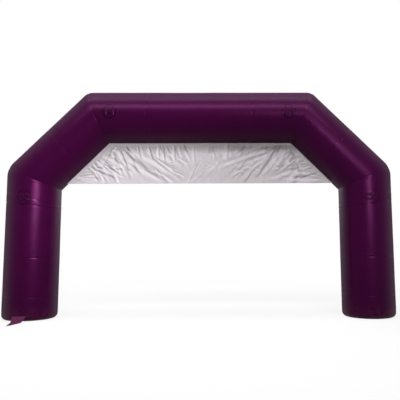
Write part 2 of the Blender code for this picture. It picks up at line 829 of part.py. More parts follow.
def valve_barrel(name):
    """Flange, collar, barrel and seat of a valve, with a spoked hub that guides the stem. The axis is Z."""
    seat_low = -VALVE_BARREL_DEPTH
    seat_high = seat_low + VALVE_SEAT_THICKNESS
    profile = [
        (BARREL_BORE, VALVE_COLLAR_HEIGHT), (BARREL_BORE, seat_high), (SEAT_BORE, seat_high),
        (SEAT_BORE, seat_low), (VALVE_BARREL_RADIUS, seat_low), (VALVE_BARREL_RADIUS, 0),
        (VALVE_FLANGE_RADIUS, 0), (VALVE_FLANGE_RADIUS, VALVE_FLANGE_THICKNESS),
        (VALVE_BARREL_RADIUS, VALVE_FLANGE_THICKNESS), (VALVE_BARREL_RADIUS, VALVE_COLLAR_HEIGHT),
    ]
    body = turned(name, profile, VALVE_SIDES, valve_plastic())
    bore = STEM_RADIUS + STEM_CLEARANCE
    hub_high = seat_low + VALVE_HUB_HEIGHT
    hub = [(0, seat_low), (VALVE_HUB_RADIUS, seat_low), (VALVE_HUB_RADIUS, hub_high), (0, hub_high)]
    body = combined(body, spokes(seat_low + GAP, seat_high - GAP), "UNION")
    well = [(0, seat_low - CUT_OVERRUN), (bore, seat_low - CUT_OVERRUN), (bore, hub_high + CUT_OVERRUN),
            (0, hub_high + CUT_OVERRUN)]
    body = combined(body, turned("hub", hub, STEM_SIDES, valve_plastic(), closed=False), "UNION")
    return combined(body, turned("well", well, STEM_SIDES, valve_plastic(), closed=False), "DIFFERENCE")


def spokes(low, high):
    """A star of spokes from the hub to the middle of the seat."""
    reach = SEAT_BORE + VALVE_SEAT_WIDTH / 2
    half = VALVE_SPOKE_WIDTH / 2
    step = 2 * math.pi / SPOKES
    crotch = half / math.sin(step / 2)
    outline = []
    for i in range(SPOKES):
        out = Vector((math.cos(i * step), math.sin(i * step)))
        side = Vector((-out.y, out.x))
        between = (i + 0.5) * step
        outline += [out * reach - side * half, out * reach + side * half]
        outline.append(Vector((math.cos(between), math.sin(between))) * crotch)
    return extruded("spokes", [tuple(point) for point in outline], low, high, valve_plastic())


def poppet(name, inside):
    """A stem with a sealing disc at the seat and a head that holds the spring, as one turned piece.

    `inside` seats the disc on the seat's inner face, and otherwise the head is on that side.
    """
    seat = -VALVE_BARREL_DEPTH
    hub_high = seat + VALVE_HUB_HEIGHT
    disc = SEAT_BORE + POPPET_OVERLAP
    if inside:
        head_low = hub_high + SPRING_SPACE
        profile = [
            (0, seat - GAP - POPPET_THICKNESS), (disc, seat - GAP - POPPET_THICKNESS), (disc, seat - GAP),
            (STEM_RADIUS, seat - GAP), (STEM_RADIUS, head_low), (STEM_HEAD_RADIUS, head_low),
            (STEM_HEAD_RADIUS, head_low + STEM_HEAD_THICKNESS), (0, head_low + STEM_HEAD_THICKNESS),
        ]
    else:
        disc_low = hub_high + GAP
        head_high = seat - SPRING_SPACE
        profile = [
            (0, head_high - STEM_HEAD_THICKNESS), (STEM_HEAD_RADIUS, head_high - STEM_HEAD_THICKNESS),
            (STEM_HEAD_RADIUS, head_high), (STEM_RADIUS, head_high), (STEM_RADIUS, disc_low),
            (VALVE_HUB_RADIUS, disc_low), (disc, seat + VALVE_SEAT_THICKNESS + GAP),
            (disc, disc_low + POPPET_THICKNESS), (0, disc_low + POPPET_THICKNESS),
        ]
    return turned(name, profile, VALVE_SIDES, poppet_rubber(), closed=False)


def valve_cap(name):
    """A flip cap with a plug rim, a finger lip and a hinge knuckle. The origin is on the hinge pin."""
    low = VALVE_COLLAR_HEIGHT + GAP
    high = low + CAP_THICKNESS
    plug_inside = CAP_PLUG_RADIUS - CAP_PLUG_WALL
    plug_low = low - CAP_PLUG_DEPTH
    profile = [
        (0, low), (plug_inside, low), (plug_inside, plug_low), (CAP_PLUG_RADIUS, plug_low),
        (CAP_PLUG_RADIUS, low), (CAP_RADIUS, low), (CAP_RADIUS, high), (0, high),
    ]
    cap = turned(name, profile, VALVE_SIDES, valve_plastic(), closed=False)
    lip = box("lip", (-CAP_LIP_WIDTH / 2, CAP_PLUG_RADIUS, low + GAP),
              (CAP_LIP_WIDTH / 2, CAP_RADIUS + CAP_LIP_LENGTH, high - GAP), valve_plastic())
    tongue = box("tongue", (-CAP_KNUCKLE_WIDTH / 2 + GAP, -CAP_HINGE_REACH, low + GAP),
                 (CAP_KNUCKLE_WIDTH / 2 - GAP, -CAP_PLUG_RADIUS, high - GAP), valve_plastic())
    knuckle = rod("knuckle", CAP_KNUCKLE_RADIUS, CAP_KNUCKLE_WIDTH)
    bore = rod("bore", CAP_PIN_RADIUS + CAP_PIN_CLEARANCE, CAP_KNUCKLE_WIDTH + 2 * CUT_OVERRUN)
    for extra in (lip, tongue, knuckle):
        cap = combined(cap, extra, "UNION")
    cap = combined(cap, bore, "DIFFERENCE")
    cap.data.transform(Matrix.Translation((0, CAP_HINGE_REACH, -CAP_HINGE_HEIGHT)))
    return cap


def rod(name, radius, width):
    """A round rod along X through the cap's hinge line."""
    ends = [(0, -width / 2), (radius, -width / 2), (radius, width / 2), (0, width / 2)]
    made = turned(name, ends, STEM_SIDES, valve_plastic(), closed=False)
    made.data.transform(Matrix.Rotation(math.pi / 2, 4, "Y"))
    made.data.transform(Matrix.Translation((0, -CAP_HINGE_REACH, CAP_HINGE_HEIGHT)))
    return made


def hinge_ears(body):
    """Join two ears and the hinge pin to the flange of the inflation valve."""
    inner = CAP_KNUCKLE_WIDTH / 2 + GAP
    outer = inner + CAP_EAR_WIDTH
    far = CAP_HINGE_REACH + CAP_KNUCKLE_RADIUS
    near = CAP_HINGE_REACH - CAP_KNUCKLE_RADIUS
    top = CAP_HINGE_HEIGHT + CAP_KNUCKLE_RADIUS
    for side in (-1, 1):
        edges = sorted((side * inner, side * outer))
        foot = (edges[0], -far, VALVE_FLANGE_THICKNESS / 2)
        body = combined(body, box("ear", foot, (edges[1], -near, top), valve_plastic()), "UNION")
    return combined(body, rod("pin", CAP_PIN_RADIUS, inner + outer), "UNION")


def valve_nut(name):
    """The ring that clamps the skin against the flange from inside the leg."""
    bore = VALVE_BARREL_RADIUS + GAP
    high = -SKIN - 2 * GAP
    low = high - VALVE_NUT_THICKNESS
    outer = bore + VALVE_NUT_WIDTH
    profile = [(bore, low), (outer, low), (outer, high), (bore, high)]
    return turned(name, profile, VALVE_SIDES, valve_plastic())


def cut_valve_hole(panel_name, x):
    """Cut the round hole for a valve's barrel in the back of a leg's wall."""
    radius = VALVE_BARREL_RADIUS + VALVE_HOLE_CLEARANCE
    reach = VALVE_FLANGE_RADIUS
    ends = [(0, -reach), (radius, -reach), (radius, reach), (0, reach)]
    punch = turned("valve_punch", ends, VALVE_SIDES, purple_skin(), closed=False)
    punch.location = (x, TUBE_RADIUS, VALVE_HEIGHT)
    punch.rotation_euler = (-math.pi / 2, 0, 0)
    combined(bpy.data.objects[panel_name], punch, "DIFFERENCE")


def valves():
    """The inflation valve on the back of the left leg and the relief valve on the back of the right."""
    face = TUBE_RADIUS + GAP
    hub_high = VALVE_HUB_HEIGHT - VALVE_BARREL_DEPTH
    cut_valve_hole("left_leg_lower", -LEG_REACH)
    cut_valve_hole("right_leg_lower", LEG_REACH)
    left = [
        (hinge_ears(valve_barrel("inflation_valve_body")), 0, 0),
        (valve_nut("inflation_valve_nut"), 0, 0),
        (poppet("inflation_valve_stem", inside=True), 0, 0),
        (compression_spring("inflation_valve_spring", SPRING_SPACE - 2 * GAP), hub_high + GAP, 0),
        (valve_cap("inflation_valve_cap"), CAP_HINGE_HEIGHT, CAP_HINGE_REACH),
    ]
    right = [
        (valve_barrel("relief_valve_body"), 0, 0),
        (poppet("relief_valve_poppet", inside=False), 0, 0),
        (compression_spring("relief_valve_spring", SPRING_SPACE - 2 * GAP),
         -VALVE_BARREL_DEPTH - SPRING_SPACE + GAP, 0),
    ]
    for x, pieces in ((-LEG_REACH, left), (LEG_REACH, right)):
        for piece, out, up in pieces:
            piece.location = (x, face + out, VALVE_HEIGHT + up)
            piece.rotation_euler = (-math.pi / 2, 0, 0)


def gather():
    """Parent every piece to one empty at the arch's reference point."""
    holder = bpy.data.objects.new("finish_line_arch", None)
    pieces = list(bpy.context.scene.collection.objects)
    bpy.context.scene.collection.objects.link(holder)
    for piece in pieces:
        piece.parent = holder


start_clean()
for leg_side, on_right in (("left", False), ("right", True)):
    leg_panels(leg_side, on_right)
beam_panels()
guy_points()
ground_tabs()
grip_strips()
banner()
valves()
gather()
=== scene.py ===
# Inflatable finish line arch
#
# The looks of a sealed, air-filled gateway of plum coated fabric with a creased satin banner under its
# beam. Metres, +Z up, the span along X, the front towards -Y, the feet on Z = 0.

import math

import bmesh
import bpy
import numpy as np
from mathutils import Matrix, Vector


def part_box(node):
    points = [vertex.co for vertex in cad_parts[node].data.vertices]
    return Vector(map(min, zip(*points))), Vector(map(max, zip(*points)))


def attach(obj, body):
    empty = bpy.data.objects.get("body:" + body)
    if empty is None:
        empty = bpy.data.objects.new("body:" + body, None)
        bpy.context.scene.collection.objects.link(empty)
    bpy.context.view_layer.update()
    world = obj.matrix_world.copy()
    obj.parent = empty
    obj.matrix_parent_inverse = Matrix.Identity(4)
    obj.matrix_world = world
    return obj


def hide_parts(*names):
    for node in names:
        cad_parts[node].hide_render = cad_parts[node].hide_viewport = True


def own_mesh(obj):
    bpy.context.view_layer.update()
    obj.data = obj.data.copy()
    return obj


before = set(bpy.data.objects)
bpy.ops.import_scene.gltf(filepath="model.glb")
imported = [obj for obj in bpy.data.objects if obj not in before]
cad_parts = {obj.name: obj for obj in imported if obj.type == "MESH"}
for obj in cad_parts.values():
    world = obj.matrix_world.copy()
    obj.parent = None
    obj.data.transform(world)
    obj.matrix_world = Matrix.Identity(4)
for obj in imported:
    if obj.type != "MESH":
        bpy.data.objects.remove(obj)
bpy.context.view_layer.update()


# Camera
# The arch is seen from the front at eye height, a little right of its middle, tipped up towards the beam.
# Place and lens come from a fit of the arch's corners, tube edges and seams in the photograph.
camera_place = Vector((0.437, -9.826, 1.356))
camera_tip = math.radians(6.17)
camera_turn = math.radians(0.66)
camera_roll = math.radians(-0.26)
picture_px = 400
focal_px = 470.2
centre_px = (226.4, 199.4)


def add_to_scene(name, data):
    """A new object at the origin that holds a mesh, a lamp or a camera."""
    thing = bpy.data.objects.new(name, data)
    bpy.context.scene.collection.objects.link(thing)
    return thing


lens = bpy.data.cameras.new("camera")
lens.sensor_width = 36
lens.lens = focal_px / picture_px * lens.sensor_width
lens.shift_x = (picture_px / 2 - centre_px[0]) / picture_px
lens.shift_y = (centre_px[1] - picture_px / 2) / picture_px
lens.clip_end = 200
camera = add_to_scene("camera", lens)
bpy.context.scene.camera = camera
camera.matrix_world = (
    Matrix.Translation(camera_place)
    @ Matrix.Rotation(-camera_turn, 4, "Z")
    @ Matrix.Rotation(math.pi / 2 + camera_tip, 4, "X")
    @ Matrix.Rotation(camera_roll, 4, "Z")
)
bpy.context.scene.view_settings.view_transform = "Standard"


# Floor and light
# A plain pale floor runs out into a white surround. Two long softboxes in front and above stand for a bright
# sky, three weaker ones with grids light the legs, one lights the back, and the world fills the shadows.
floor_reach = 60
floor_drop = 0.0006
floor_bounce = (0.36, 0.27, 0.22, 1)
shadow_floor = (5.5, 13.0)
glow_share = (0.80, 1.0)


def put(tree, kind, inputs=None, **settings):
    """Add a node, set its settings, and set or join its inputs."""
    made = tree.nodes.new(kind)
    for key, value in settings.items():
        setattr(made, key, value)
    for key, value in (inputs or {}).items():
        if isinstance(value, bpy.types.NodeSocket):
            tree.links.new(value, made.inputs[key])
        else:
            made.inputs[key].default_value = value
    return made


def maths(tree, operation, first, second=0.0, third=0.0):
    """The output of one Math node."""
    return put(tree, "ShaderNodeMath", {0: first, 1: second, 2: third}, operation=operation).outputs[0]


def mapped(tree, value, before, after=(0.0, 1.0), curve="LINEAR"):
    """A value that runs from one pair of ends, mapped to run between another."""
    ends = dict(zip(("From Min", "From Max", "To Min", "To Max"), (*before, *after)))
    return put(tree, "ShaderNodeMapRange", {"Value": value, **ends}, interpolation_type=curve).outputs[0]


def mixed(tree, share, first, second):
    """Two shaders mixed by a share."""
    return put(tree, "ShaderNodeMixShader", {0: share, 1: first.outputs[0], 2: second.outputs[0]})


def seen_directly(tree):
    """1 for rays from the camera, from a reflection or through something clear, and 0 for the rest."""
    path = put(tree, "ShaderNodeLightPath")
    first = maths(tree, "MAXIMUM", path.outputs["Is Camera Ray"], path.outputs["Is Glossy Ray"])
    return maths(tree, "MAXIMUM", first, path.outputs["Is Transmission Ray"])


world = bpy.data.worlds.new("studio")
world.use_nodes = True
bpy.context.scene.world = world
tree = world.node_tree
tree.nodes.clear()
fill = put(tree, "ShaderNodeBackground", {"Color": (0.90, 0.93, 1.0, 1), "Strength": 0.10})
surround = put(tree, "ShaderNodeBackground", {"Color": (1, 1, 1, 1), "Strength": 1.0})
put(tree, "ShaderNodeOutputWorld", {0: mixed(tree, seen_directly(tree), fill, surround).outputs[0]})

floor_look = bpy.data.materials.new("pale floor")
floor_look.use_nodes = True
tree = floor_look.node_tree
tree.nodes.clear()
bounce = put(tree, "ShaderNodeBsdfDiffuse", {"Color": floor_bounce})
lit = put(tree, "ShaderNodeBsdfDiffuse", {"Color": (0.9, 0.9, 0.9, 1)})
glow = put(tree, "ShaderNodeEmission", {"Color": (1, 1, 1, 1), "Strength": 1.0})
spot = put(tree, "ShaderNodeTexCoord").outputs["Object"]
distance = put(tree, "ShaderNodeVectorMath", {0: spot}, operation="LENGTH").outputs["Value"]
pale = mixed(tree, mapped(tree, distance, shadow_floor, glow_share, "SMOOTHSTEP"), lit, glow)
put(tree, "ShaderNodeOutputMaterial", {0: mixed(tree, seen_directly(tree), bounce, pale).outputs[0]})

floor_mesh = bpy.data.meshes.new("floor")
corners = [(x * floor_reach, y * floor_reach, -floor_drop) for x, y in ((-1, -1), (1, -1), (1, 1), (-1, 1))]
floor_mesh.from_pydata(corners, [], [(0, 1, 2, 3)])
floor_mesh.materials.append(floor_look)
floor = add_to_scene("floor", floor_mesh)


def softbox(name, place, target, size, power, colour, spread):
    """A rectangular area lamp that faces a target, with a grid that narrows its spread."""
    lamp = bpy.data.lights.new(name, "AREA")
    lamp.shape = "RECTANGLE"
    lamp.size, lamp.size_y = size
    lamp.energy = power
    lamp.color = colour
    lamp.spread = math.radians(spread)
    thing = add_to_scene(name, lamp)
    thing.location = place
    thing.rotation_euler = (Vector(target) - Vector(place)).to_track_quat("-Z", "Y").to_euler()


softbox("front_sky_box", (0, -7.2, 9.8), (0, -0.3, 3.6), (14.0, 2.0), 1080, (1.0, 0.98, 0.98), 180)
softbox("top_sky_box", (0, -1.2, 11.0), (0, -0.4, 4.2), (14.0, 2.0), 460, (0.95, 0.96, 1.0), 180)
softbox("left_leg_box", (1.2, -10.5, 4.7), (-4.0, 0, 2.1), (7.0, 2.8), 72, (1.0, 0.97, 0.97), 26)
softbox("wide_box", (3.2, -10.5, 5.8), (-3.4, 0, 2.6), (8.0, 2.6), 36, (1.0, 0.97, 0.97), 60)
softbox("right_leg_box", (4.5, -11.0, 4.5), (3.9, 0, 2.1), (3.8, 3.0), 20, (0.97, 0.97, 1.0), 26)
softbox("back_box", (0, 11.0, 6.5), (0, 0, 2.4), (14.0, 4.0), 900, (0.97, 0.98, 1.0), 180)


# Tube walls
# Fifteen panels of coated fabric are welded end over end: two boots, four leg panels, two shoulders, four
# diagonals and three beam panels. Laps are 50 mm, and 130 mm behind the legs' patches. Air keeps the panels
# round, and the welds draw them in a little.
fabric = 0.0009
weld_gap = 0.0003
lap = 0.05
patch_lap = 0.13
lap_step = 0.012
foot_rounding = 0.10
foot_steps = 8
shoulder_rounding = 0.40
corner_rounding = 0.25
shoulder_height = 2.85
slope = math.radians(45)
slant_reach = 0.80
slant_held_share = 0.2
side_steps = 176
ring_step = 0.026
weld_ring_step = 0.0063
closing_angles = (math.radians(62), math.radians(118))
closing_half_width = 0.025
closing_edge = 0.006
crease_angle = math.radians(40)

leg_low, leg_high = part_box("left_leg_upper")
tube_radius = (leg_high.y - leg_low.y) / 2 - weld_gap - fabric
leg_reach = -(leg_low.x + leg_high.x) / 2
foot_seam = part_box("left_leg_lower")[0].z
knee_seam = leg_low.z
patch_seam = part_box("left_shoulder")[0].z
beam_low, beam_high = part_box("beam_centre")
beam_height = (beam_low.z + beam_high.z) / 2
beam_seam_reach = beam_high.x
beam_reach = leg_reach - (beam_height - shoulder_height) / math.tan(slope)
front, back, inner = -math.pi / 2, math.pi / 2, math.pi


def smooth(x):
    """0 below 0, 1 above 1, and a smooth step between."""
    x = np.clip(x, 0, 1)
    return x * x * (3 - 2 * x)


def ramp(x, start, width):
    """0 up to a start, 1 from a width past it, and a smooth step between."""
    return smooth((x - start) / width)


def bell(x, middle, width):
    """1 in the middle, falling off to both sides over a width."""
    return np.exp(-(((x - middle) / width) ** 2))


class Run:
    """One straight run of the tube in the XZ plane, between the mitres before and after it."""

    def __init__(self, start, slope, length, turns, roundings, travelled):
        self.start = np.array((start[0], 0, start[1]))
        self.along = np.array((math.cos(slope), 0, math.sin(slope)))
        self.outwards = np.array((-math.sin(slope), 0, math.cos(slope)))
        self.length = length
        self.turns = turns
        self.roundings = roundings
        self.travelled = travelled

    def ring(self, place, lift, angles):
        """Points round the tube, the way each moves when the tube swells, and its place on the flat cloth."""
        out, side = np.cos(angles), np.sin(angles)
        slant = np.zeros_like(angles)
        drawn = 0
        for distance, turn, rounding, sign in (
            (place, self.turns[0], self.roundings[0], -1),
            (self.length - place, self.turns[1], self.roundings[1], 1),
        ):
            freed = ramp(distance / slant_reach, slant_held_share, 1 - slant_held_share)
            slant += sign * math.tan(turn / 2) * (1 - freed) * out
            left = max(0, rounding * math.tan(turn / 2) - distance)
            drawn += left * left / (2 * rounding)
        radius = tube_radius + lift - drawn * np.clip(out, 0, 1)
        swell = self.along * slant[:, None] + self.outwards * out[:, None]
        swell[:, 1] += side
        points = self.start + self.along * place + swell * np.broadcast_to(radius, angles.shape)[:, None]
        way = np.full_like(out, self.travelled + place)
        cloth = np.stack((tube_radius * out, tube_radius * side, way), 1)
        return points, swell, cloth


# The left half's straight runs and the whole beam. The tube turns by the slope at each mitre.
diagonal_length = (beam_height - shoulder_height) / math.sin(slope)
leg = Run((-leg_reach, 0), math.pi / 2, shoulder_height, (0, slope), (shoulder_rounding,) * 2, 0)
diagonal = Run(
    (-leg_reach, shoulder_height), slope, diagonal_length, (slope, slope),
    (shoulder_rounding, corner_rounding), shoulder_height,
)
beam = Run(
    (-beam_reach, beam_height), 0, 2 * beam_reach, (slope, slope), (corner_rounding,) * 2,
    shoulder_height + diagonal_length,
)

# Places on the left half's flat cloth where something is fixed, as (way along, angle, reach). The skin is
# even there.
arch_length = 2 * (shoulder_height + diagonal_length) + beam.length
leg_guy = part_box("left_leg_front_patch")
leg_guy_height = (leg_guy[0].z + leg_guy[1].z) / 2
beam_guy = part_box("left_beam_front_patch")
beam_guy_place = beam.travelled + (beam_guy[0].x + beam_guy[1].x) / 2 + beam_reach
patch_radius = (leg_guy[1].z - leg_guy[0].z) / 2
valve_low, valve_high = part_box("inflation_valve_body")
valve_height = (valve_low.z + valve_high.z) / 2
tab_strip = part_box("left_front_tab_strip")
tab_place = (tab_strip[0].z + tab_strip[1].z) / 2
tab_reach = (tab_strip[1].x - tab_strip[0].x) / 2
fixed_places = [(valve_height, back, valve_high.x - valve_low.x)]
for face in (front, back):
    fixed_places += [
        (tab_place, face, tab_reach), (leg_guy_height, face, patch_radius),
        (beam_guy_place, face, patch_radius),
    ]
fixed_margin = 0.06
weld_places = [
    foot_seam + lap / 2, knee_seam + lap / 2, patch_seam, patch_seam + patch_lap, shoulder_height,
    shoulder_height + diagonal_length / 2, beam.travelled,
    beam.travelled + beam_reach - beam_seam_reach + lap / 2,
]
weld_places += [arch_length - place for place in weld_places]
weld_width = 0.016
foot_weld_place = 0.115
foot_weld_width = 0.06
foot_weld_share = 0.7
grip_half_width = 0.035
grip_margin = 0.05
grip_end = 0.1


def nearness(cloth, place, angle, reach, margin):
    """1 within `reach` of a place on the cloth, falling to 0 over `margin`."""
    around = np.arctan2(cloth[:, 1], cloth[:, 0]) - angle
    around = tube_radius * (np.mod(around + math.pi, 2 * math.pi) - math.pi)
    distance = np.hypot(around, cloth[:, 2] - place)
    return 1 - ramp(distance, reach, margin)


def relief_masks(cloth):
    """How near each point is to a weld, and how free it is to swell."""
    weld = np.zeros(len(cloth))
    for place in weld_places:
        weld = np.maximum(weld, bell(cloth[:, 2], place, weld_width))
    for place in (foot_weld_place, arch_length - foot_weld_place):
        weld = np.maximum(weld, foot_weld_share * bell(cloth[:, 2], place, foot_weld_width))
    free = np.ones(len(cloth))
    for place, angle, reach in fixed_places:
        free *= 1 - nearness(cloth, place, angle, reach, fixed_margin)
    grip = nearness(cloth * (1, 1, 0), 0, inner, grip_half_width, grip_margin)
    grip *= ramp(cloth[:, 2], leg.length + grip_end, grip_end)
    grip *= 1 - ramp(cloth[:, 2], arch_length - leg.length - 2 * grip_end, grip_end)
    return weld, free * (1 - grip)


angle_step = 2 * math.pi / side_steps
closing_marks = [
    angle + (edge + shift) / tube_radius
    for angle in closing_angles
    for edge in (-closing_half_width, closing_half_width)
    for shift in (-closing_edge / 2, closing_edge / 2)
]
even_angles = -math.pi + angle_step * np.arange(side_steps)
from_marks = np.abs(even_angles[:, None] - np.array(closing_marks)).min(axis=1)
angles = np.sort(np.concatenate((even_angles[from_marks > angle_step / 3], closing_marks)))


def closing_seam(angle, height):
    """Lift of the panel's own closing seam, which runs along the tube."""
    away = np.abs(angles - angle) * tube_radius
    return height * (1 - ramp(away, closing_half_width - closing_edge / 2, closing_edge))


def stations(run, low, high, lift, step=ring_step):
    """Places along a run, evenly spread from low to high, with the lift of the wall's outer face."""
    count = max(1, round((high - low) / step))
    return [(run, low + (high - low) * i / count, lift) for i in range(count + 1)]


def grid_faces(rows, columns, first, outwards, wrap):
    """Quads of a grid of vertices that starts at index `first`, and the grid places of their corners."""
    i, j = np.meshgrid(np.arange(rows - 1), np.arange(columns if wrap else columns - 1), indexing="ij")
    i, j = i.ravel(), j.ravel()
    corners = [(i, j), (i + 1, j), (i + 1, j + 1), (i, j + 1)]
    if not outwards:
        corners.reverse()
    faces = np.stack([first + a * columns + b % columns for a, b in corners], 1)
    return faces, np.stack([np.stack(corner, 1) for corner in corners], 1)


def add_piece(name, points, faces, looks, maps=None, attributes=None):
    """A smooth mesh object with its creases sharp, with a map of the flat cloth where one is given."""
    data = bpy.data.meshes.new(name)
    data.from_pydata(points.tolist(), [], [list(map(int, face)) for face in faces])
    if maps is not None:
        layer = data.uv_layers.new(name="cloth")
        layer.data.foreach_set("uv", maps.astype(np.float32).ravel())
    for key, values in (attributes or {}).items():
        kind, field = ("FLOAT", "value") if values.ndim == 1 else ("FLOAT_VECTOR", "vector")
        layer = data.attributes.new(key, kind, "POINT")
        layer.data.foreach_set(field, values.astype(np.float32).ravel())
    data.shade_smooth()
    data.set_sharp_from_angle(angle=crease_angle)
    data.materials.append(looks)
    return add_to_scene(name, data)


def fit(piece, body, node=None):
    """Let a piece ride on its body, in the place of its node where it has one."""
    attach(piece, body)
    if node:
        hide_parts(node)


def settled(thing):
    """The object with its modifiers made part of a plain mesh, and removed."""
    bpy.context.view_layer.update()
    data = bpy.data.meshes.new_from_object(thing.evaluated_get(bpy.context.evaluated_depsgraph_get()))
    thing.modifiers.clear()
    thing.data = data
    data.name = thing.name
    return thing


def shape_with(thing, tree, values):
    """Run a Geometry Nodes tree on an object with its inputs set by name, and keep the plain mesh."""
    step = thing.modifiers.new(tree.name, "NODES")
    step.node_group = tree
    for socket in tree.interface.items_tree:
        if socket.in_out == "INPUT" and socket.name in values:
            step[socket.identifier] = values[socket.name]
    return settled(thing)


def node_group(kind, name, inputs, outputs):
    """A node tree with named inputs of (name, kind, value) and outputs of (name, kind), and its inputs."""
    made = bpy.data.node_groups.new(name, kind)
    for label, socket_kind, value in inputs:
        socket = made.interface.new_socket(label, in_out="INPUT", socket_type="NodeSocket" + socket_kind)
        if value is not None:
            socket.default_value = value
    for label, socket_kind in outputs:
        made.interface.new_socket(label, in_out="OUTPUT", socket_type="NodeSocket" + socket_kind)
    return made, put(made, "NodeGroupInput").outputs


def geometry_tree(name, inputs):
    """A Geometry Nodes tree that takes and gives a geometry."""
    inputs = [("Geometry", "Geometry", None), *inputs]
    return node_group("GeometryNodeTree", name, inputs, [("Geometry", "Geometry")])


def end_tree(tree, geometry, look):
    """Make instances real, set the material and end the tree."""
    real = put(tree, "GeometryNodeRealizeInstances", {0: geometry})
    dressed = put(tree, "GeometryNodeSetMaterial", {"Geometry": real.outputs[0], "Material": look})
    put(tree, "NodeGroupOutput", {0: dressed.outputs[0]})


def scaled(tree, vector, factor):
    """A vector or colour times a number."""
    return put(tree, "ShaderNodeVectorMath", {0: vector, "Scale": factor}, operation="SCALE").outputs[0]


def clouds(tree, vector, scale, detail, roughness=0.5):
    """Noise from 0 to 1, with about `scale` lumps to a metre."""
    inputs = {"Vector": vector, "Scale": scale, "Detail": detail, "Roughness": roughness}
    return put(tree, "ShaderNodeTexNoise", inputs).outputs[0]


def lumps(tree, vector, scales, detail, height):
    """Noise from about -height to height, with a scale of its own in each direction."""
    placed = put(tree, "ShaderNodeVectorMath", {0: vector, 1: scales}, operation="MULTIPLY").outputs[0]
    centred = maths(tree, "MULTIPLY_ADD", clouds(tree, placed, 1.0, detail), 2.0, -1.0)
    return maths(tree, "MULTIPLY", centred, height)


air_relief, given = geometry_tree("air relief", [
    ("Swell Height", "Float", 0.0035), ("Swell Scale", "Vector", (1.3, 1.3, 1.0)),
    ("Weld Depth", "Float", 0.0022), ("Pucker Height", "Float", 0.0022),
    ("Pucker Scale", "Vector", (13.0, 13.0, 3.0)), ("Fabric", "Material", None),
])
own = {}
for key, kind in (("cloth", "FLOAT_VECTOR"), ("swell", "FLOAT_VECTOR"), ("weld", "FLOAT"), ("free", "FLOAT")):
    own[key] = put(air_relief, "GeometryNodeInputNamedAttribute", {"Name": key}, data_type=kind).outputs[0]
slow = lumps(air_relief, own["cloth"], given["Swell Scale"], 1.0, given["Swell Height"])
quick = lumps(air_relief, own["cloth"], given["Pucker Scale"], 2.0, given["Pucker Height"])
drawn = maths(air_relief, "SUBTRACT", quick, given["Weld Depth"])
total = maths(air_relief, "MULTIPLY_ADD", drawn, own["weld"], slow)
offset = scaled(air_relief, own["swell"], maths(air_relief, "MULTIPLY", total, own["free"]))
moved = put(air_relief, "GeometryNodeSetPosition", {"Geometry": given["Geometry"], "Offset": offset})
end_tree(air_relief, moved.outputs[0], given["Fabric"])

plain_weave, given = node_group(
    "ShaderNodeTree", "plain weave",
    [("Vector", "Vector", None), ("Thread", "Float", 0.0014)],
    [("Height", "Float")],
)
parts = put(plain_weave, "ShaderNodeSeparateXYZ", {0: given["Vector"]})
waves = []
for axis in (0, 1):
    turns = maths(plain_weave, "DIVIDE", parts.outputs[axis], given["Thread"])
    waves.append(maths(plain_weave, "SINE", maths(plain_weave, "MULTIPLY", turns, math.pi)))
height = maths(plain_weave, "MULTIPLY", waves[0], waves[1])
put(plain_weave, "NodeGroupOutput", {0: maths(plain_weave, "MULTIPLY_ADD", height, 0.5, 0.5)})

cloudy, given = node_group(
    "ShaderNodeTree", "cloudy tone",
    [("Colour", "Color", (1, 1, 1, 1)), ("Vector", "Vector", None), ("Scale", "Float", 4.0),
     ("Depth", "Float", 0.2)],
    [("Colour", "Color"), ("Mask", "Float")],
)
cloud = clouds(cloudy, given["Vector"], given["Scale"], 5.0)
darker = maths(cloudy, "MULTIPLY_ADD", maths(cloudy, "SUBTRACT", cloud, 0.5), given["Depth"], 1.0)
put(cloudy, "NodeGroupOutput", {0: scaled(cloudy, given["Colour"], darker), 1: cloud})

# A dusty reddish brown near the ground: partly real dirt, partly a painted reflection of the ground on the
# lower fabric.
dust_and_ground_reflection, given = node_group(
    "ShaderNodeTree", "dusting and painted ground reflection",
    [("Colour", "Color", (1, 1, 1, 1)), ("Vector", "Vector", None), ("Reach", "Float", 0.35),
     ("Amount", "Float", 0.35), ("Dust And Reflection", "Color", (0.09, 0.03, 0.03, 1))],
    [("Colour", "Color"), ("Mask", "Float")],
)
up = put(dust_and_ground_reflection, "ShaderNodeSeparateXYZ", {0: given["Vector"]}).outputs[2]
low = mapped(dust_and_ground_reflection, up, (given["Reach"], 0.0), curve="SMOOTHSTEP")
worn = mapped(dust_and_ground_reflection, clouds(dust_and_ground_reflection, given["Vector"], 14.0, 6.0), (0.35, 0.75))
mask = maths(dust_and_ground_reflection, "MULTIPLY", maths(dust_and_ground_reflection, "MULTIPLY", low, worn), given["Amount"])
dusty = put(dust_and_ground_reflection, "ShaderNodeMix", {0: mask, 6: given["Colour"], 7: given["Dust And Reflection"]}, data_type="RGBA")
put(dust_and_ground_reflection, "NodeGroupOutput", {0: dusty.outputs[2], 1: mask})


def use_group(tree, group, inputs):
    """The outputs of one of the shader groups, placed in a material."""
    return put(tree, "ShaderNodeGroup", inputs, node_tree=group).outputs


def cloudy_tone(tree, place, colour, scale, depth):
    """A colour that grows darker and lighter in clouds, and the clouds themselves as a mask."""
    return use_group(tree, cloudy, {"Colour": colour, "Vector": place, "Scale": scale, "Depth": depth})


def dusted_with_ground_reflection(tree, place, colour, reach=0.35, amount=0.35):
    """A colour made dusty up to a reach above the ground, where its reddish tint is also a painted reflection
    of the ground, and that mark as a mask.
    """
    return use_group(tree, dust_and_ground_reflection, {"Colour": colour, "Vector": place, "Reach": reach, "Amount": amount})


def woven(tree, thread):
    """The height of a plain weave, laid out on the flat cloth."""
    cloth = put(tree, "ShaderNodeUVMap", uv_map="cloth").outputs[0]
    return use_group(tree, plain_weave, {"Vector": cloth, "Thread": thread})["Height"]


def new_look(name):
    """A material, its node tree and the object's own coordinates."""
    made = bpy.data.materials.new(name)
    made.use_nodes = True
    return made, made.node_tree, put(made.node_tree, "ShaderNodeTexCoord").outputs["Object"]


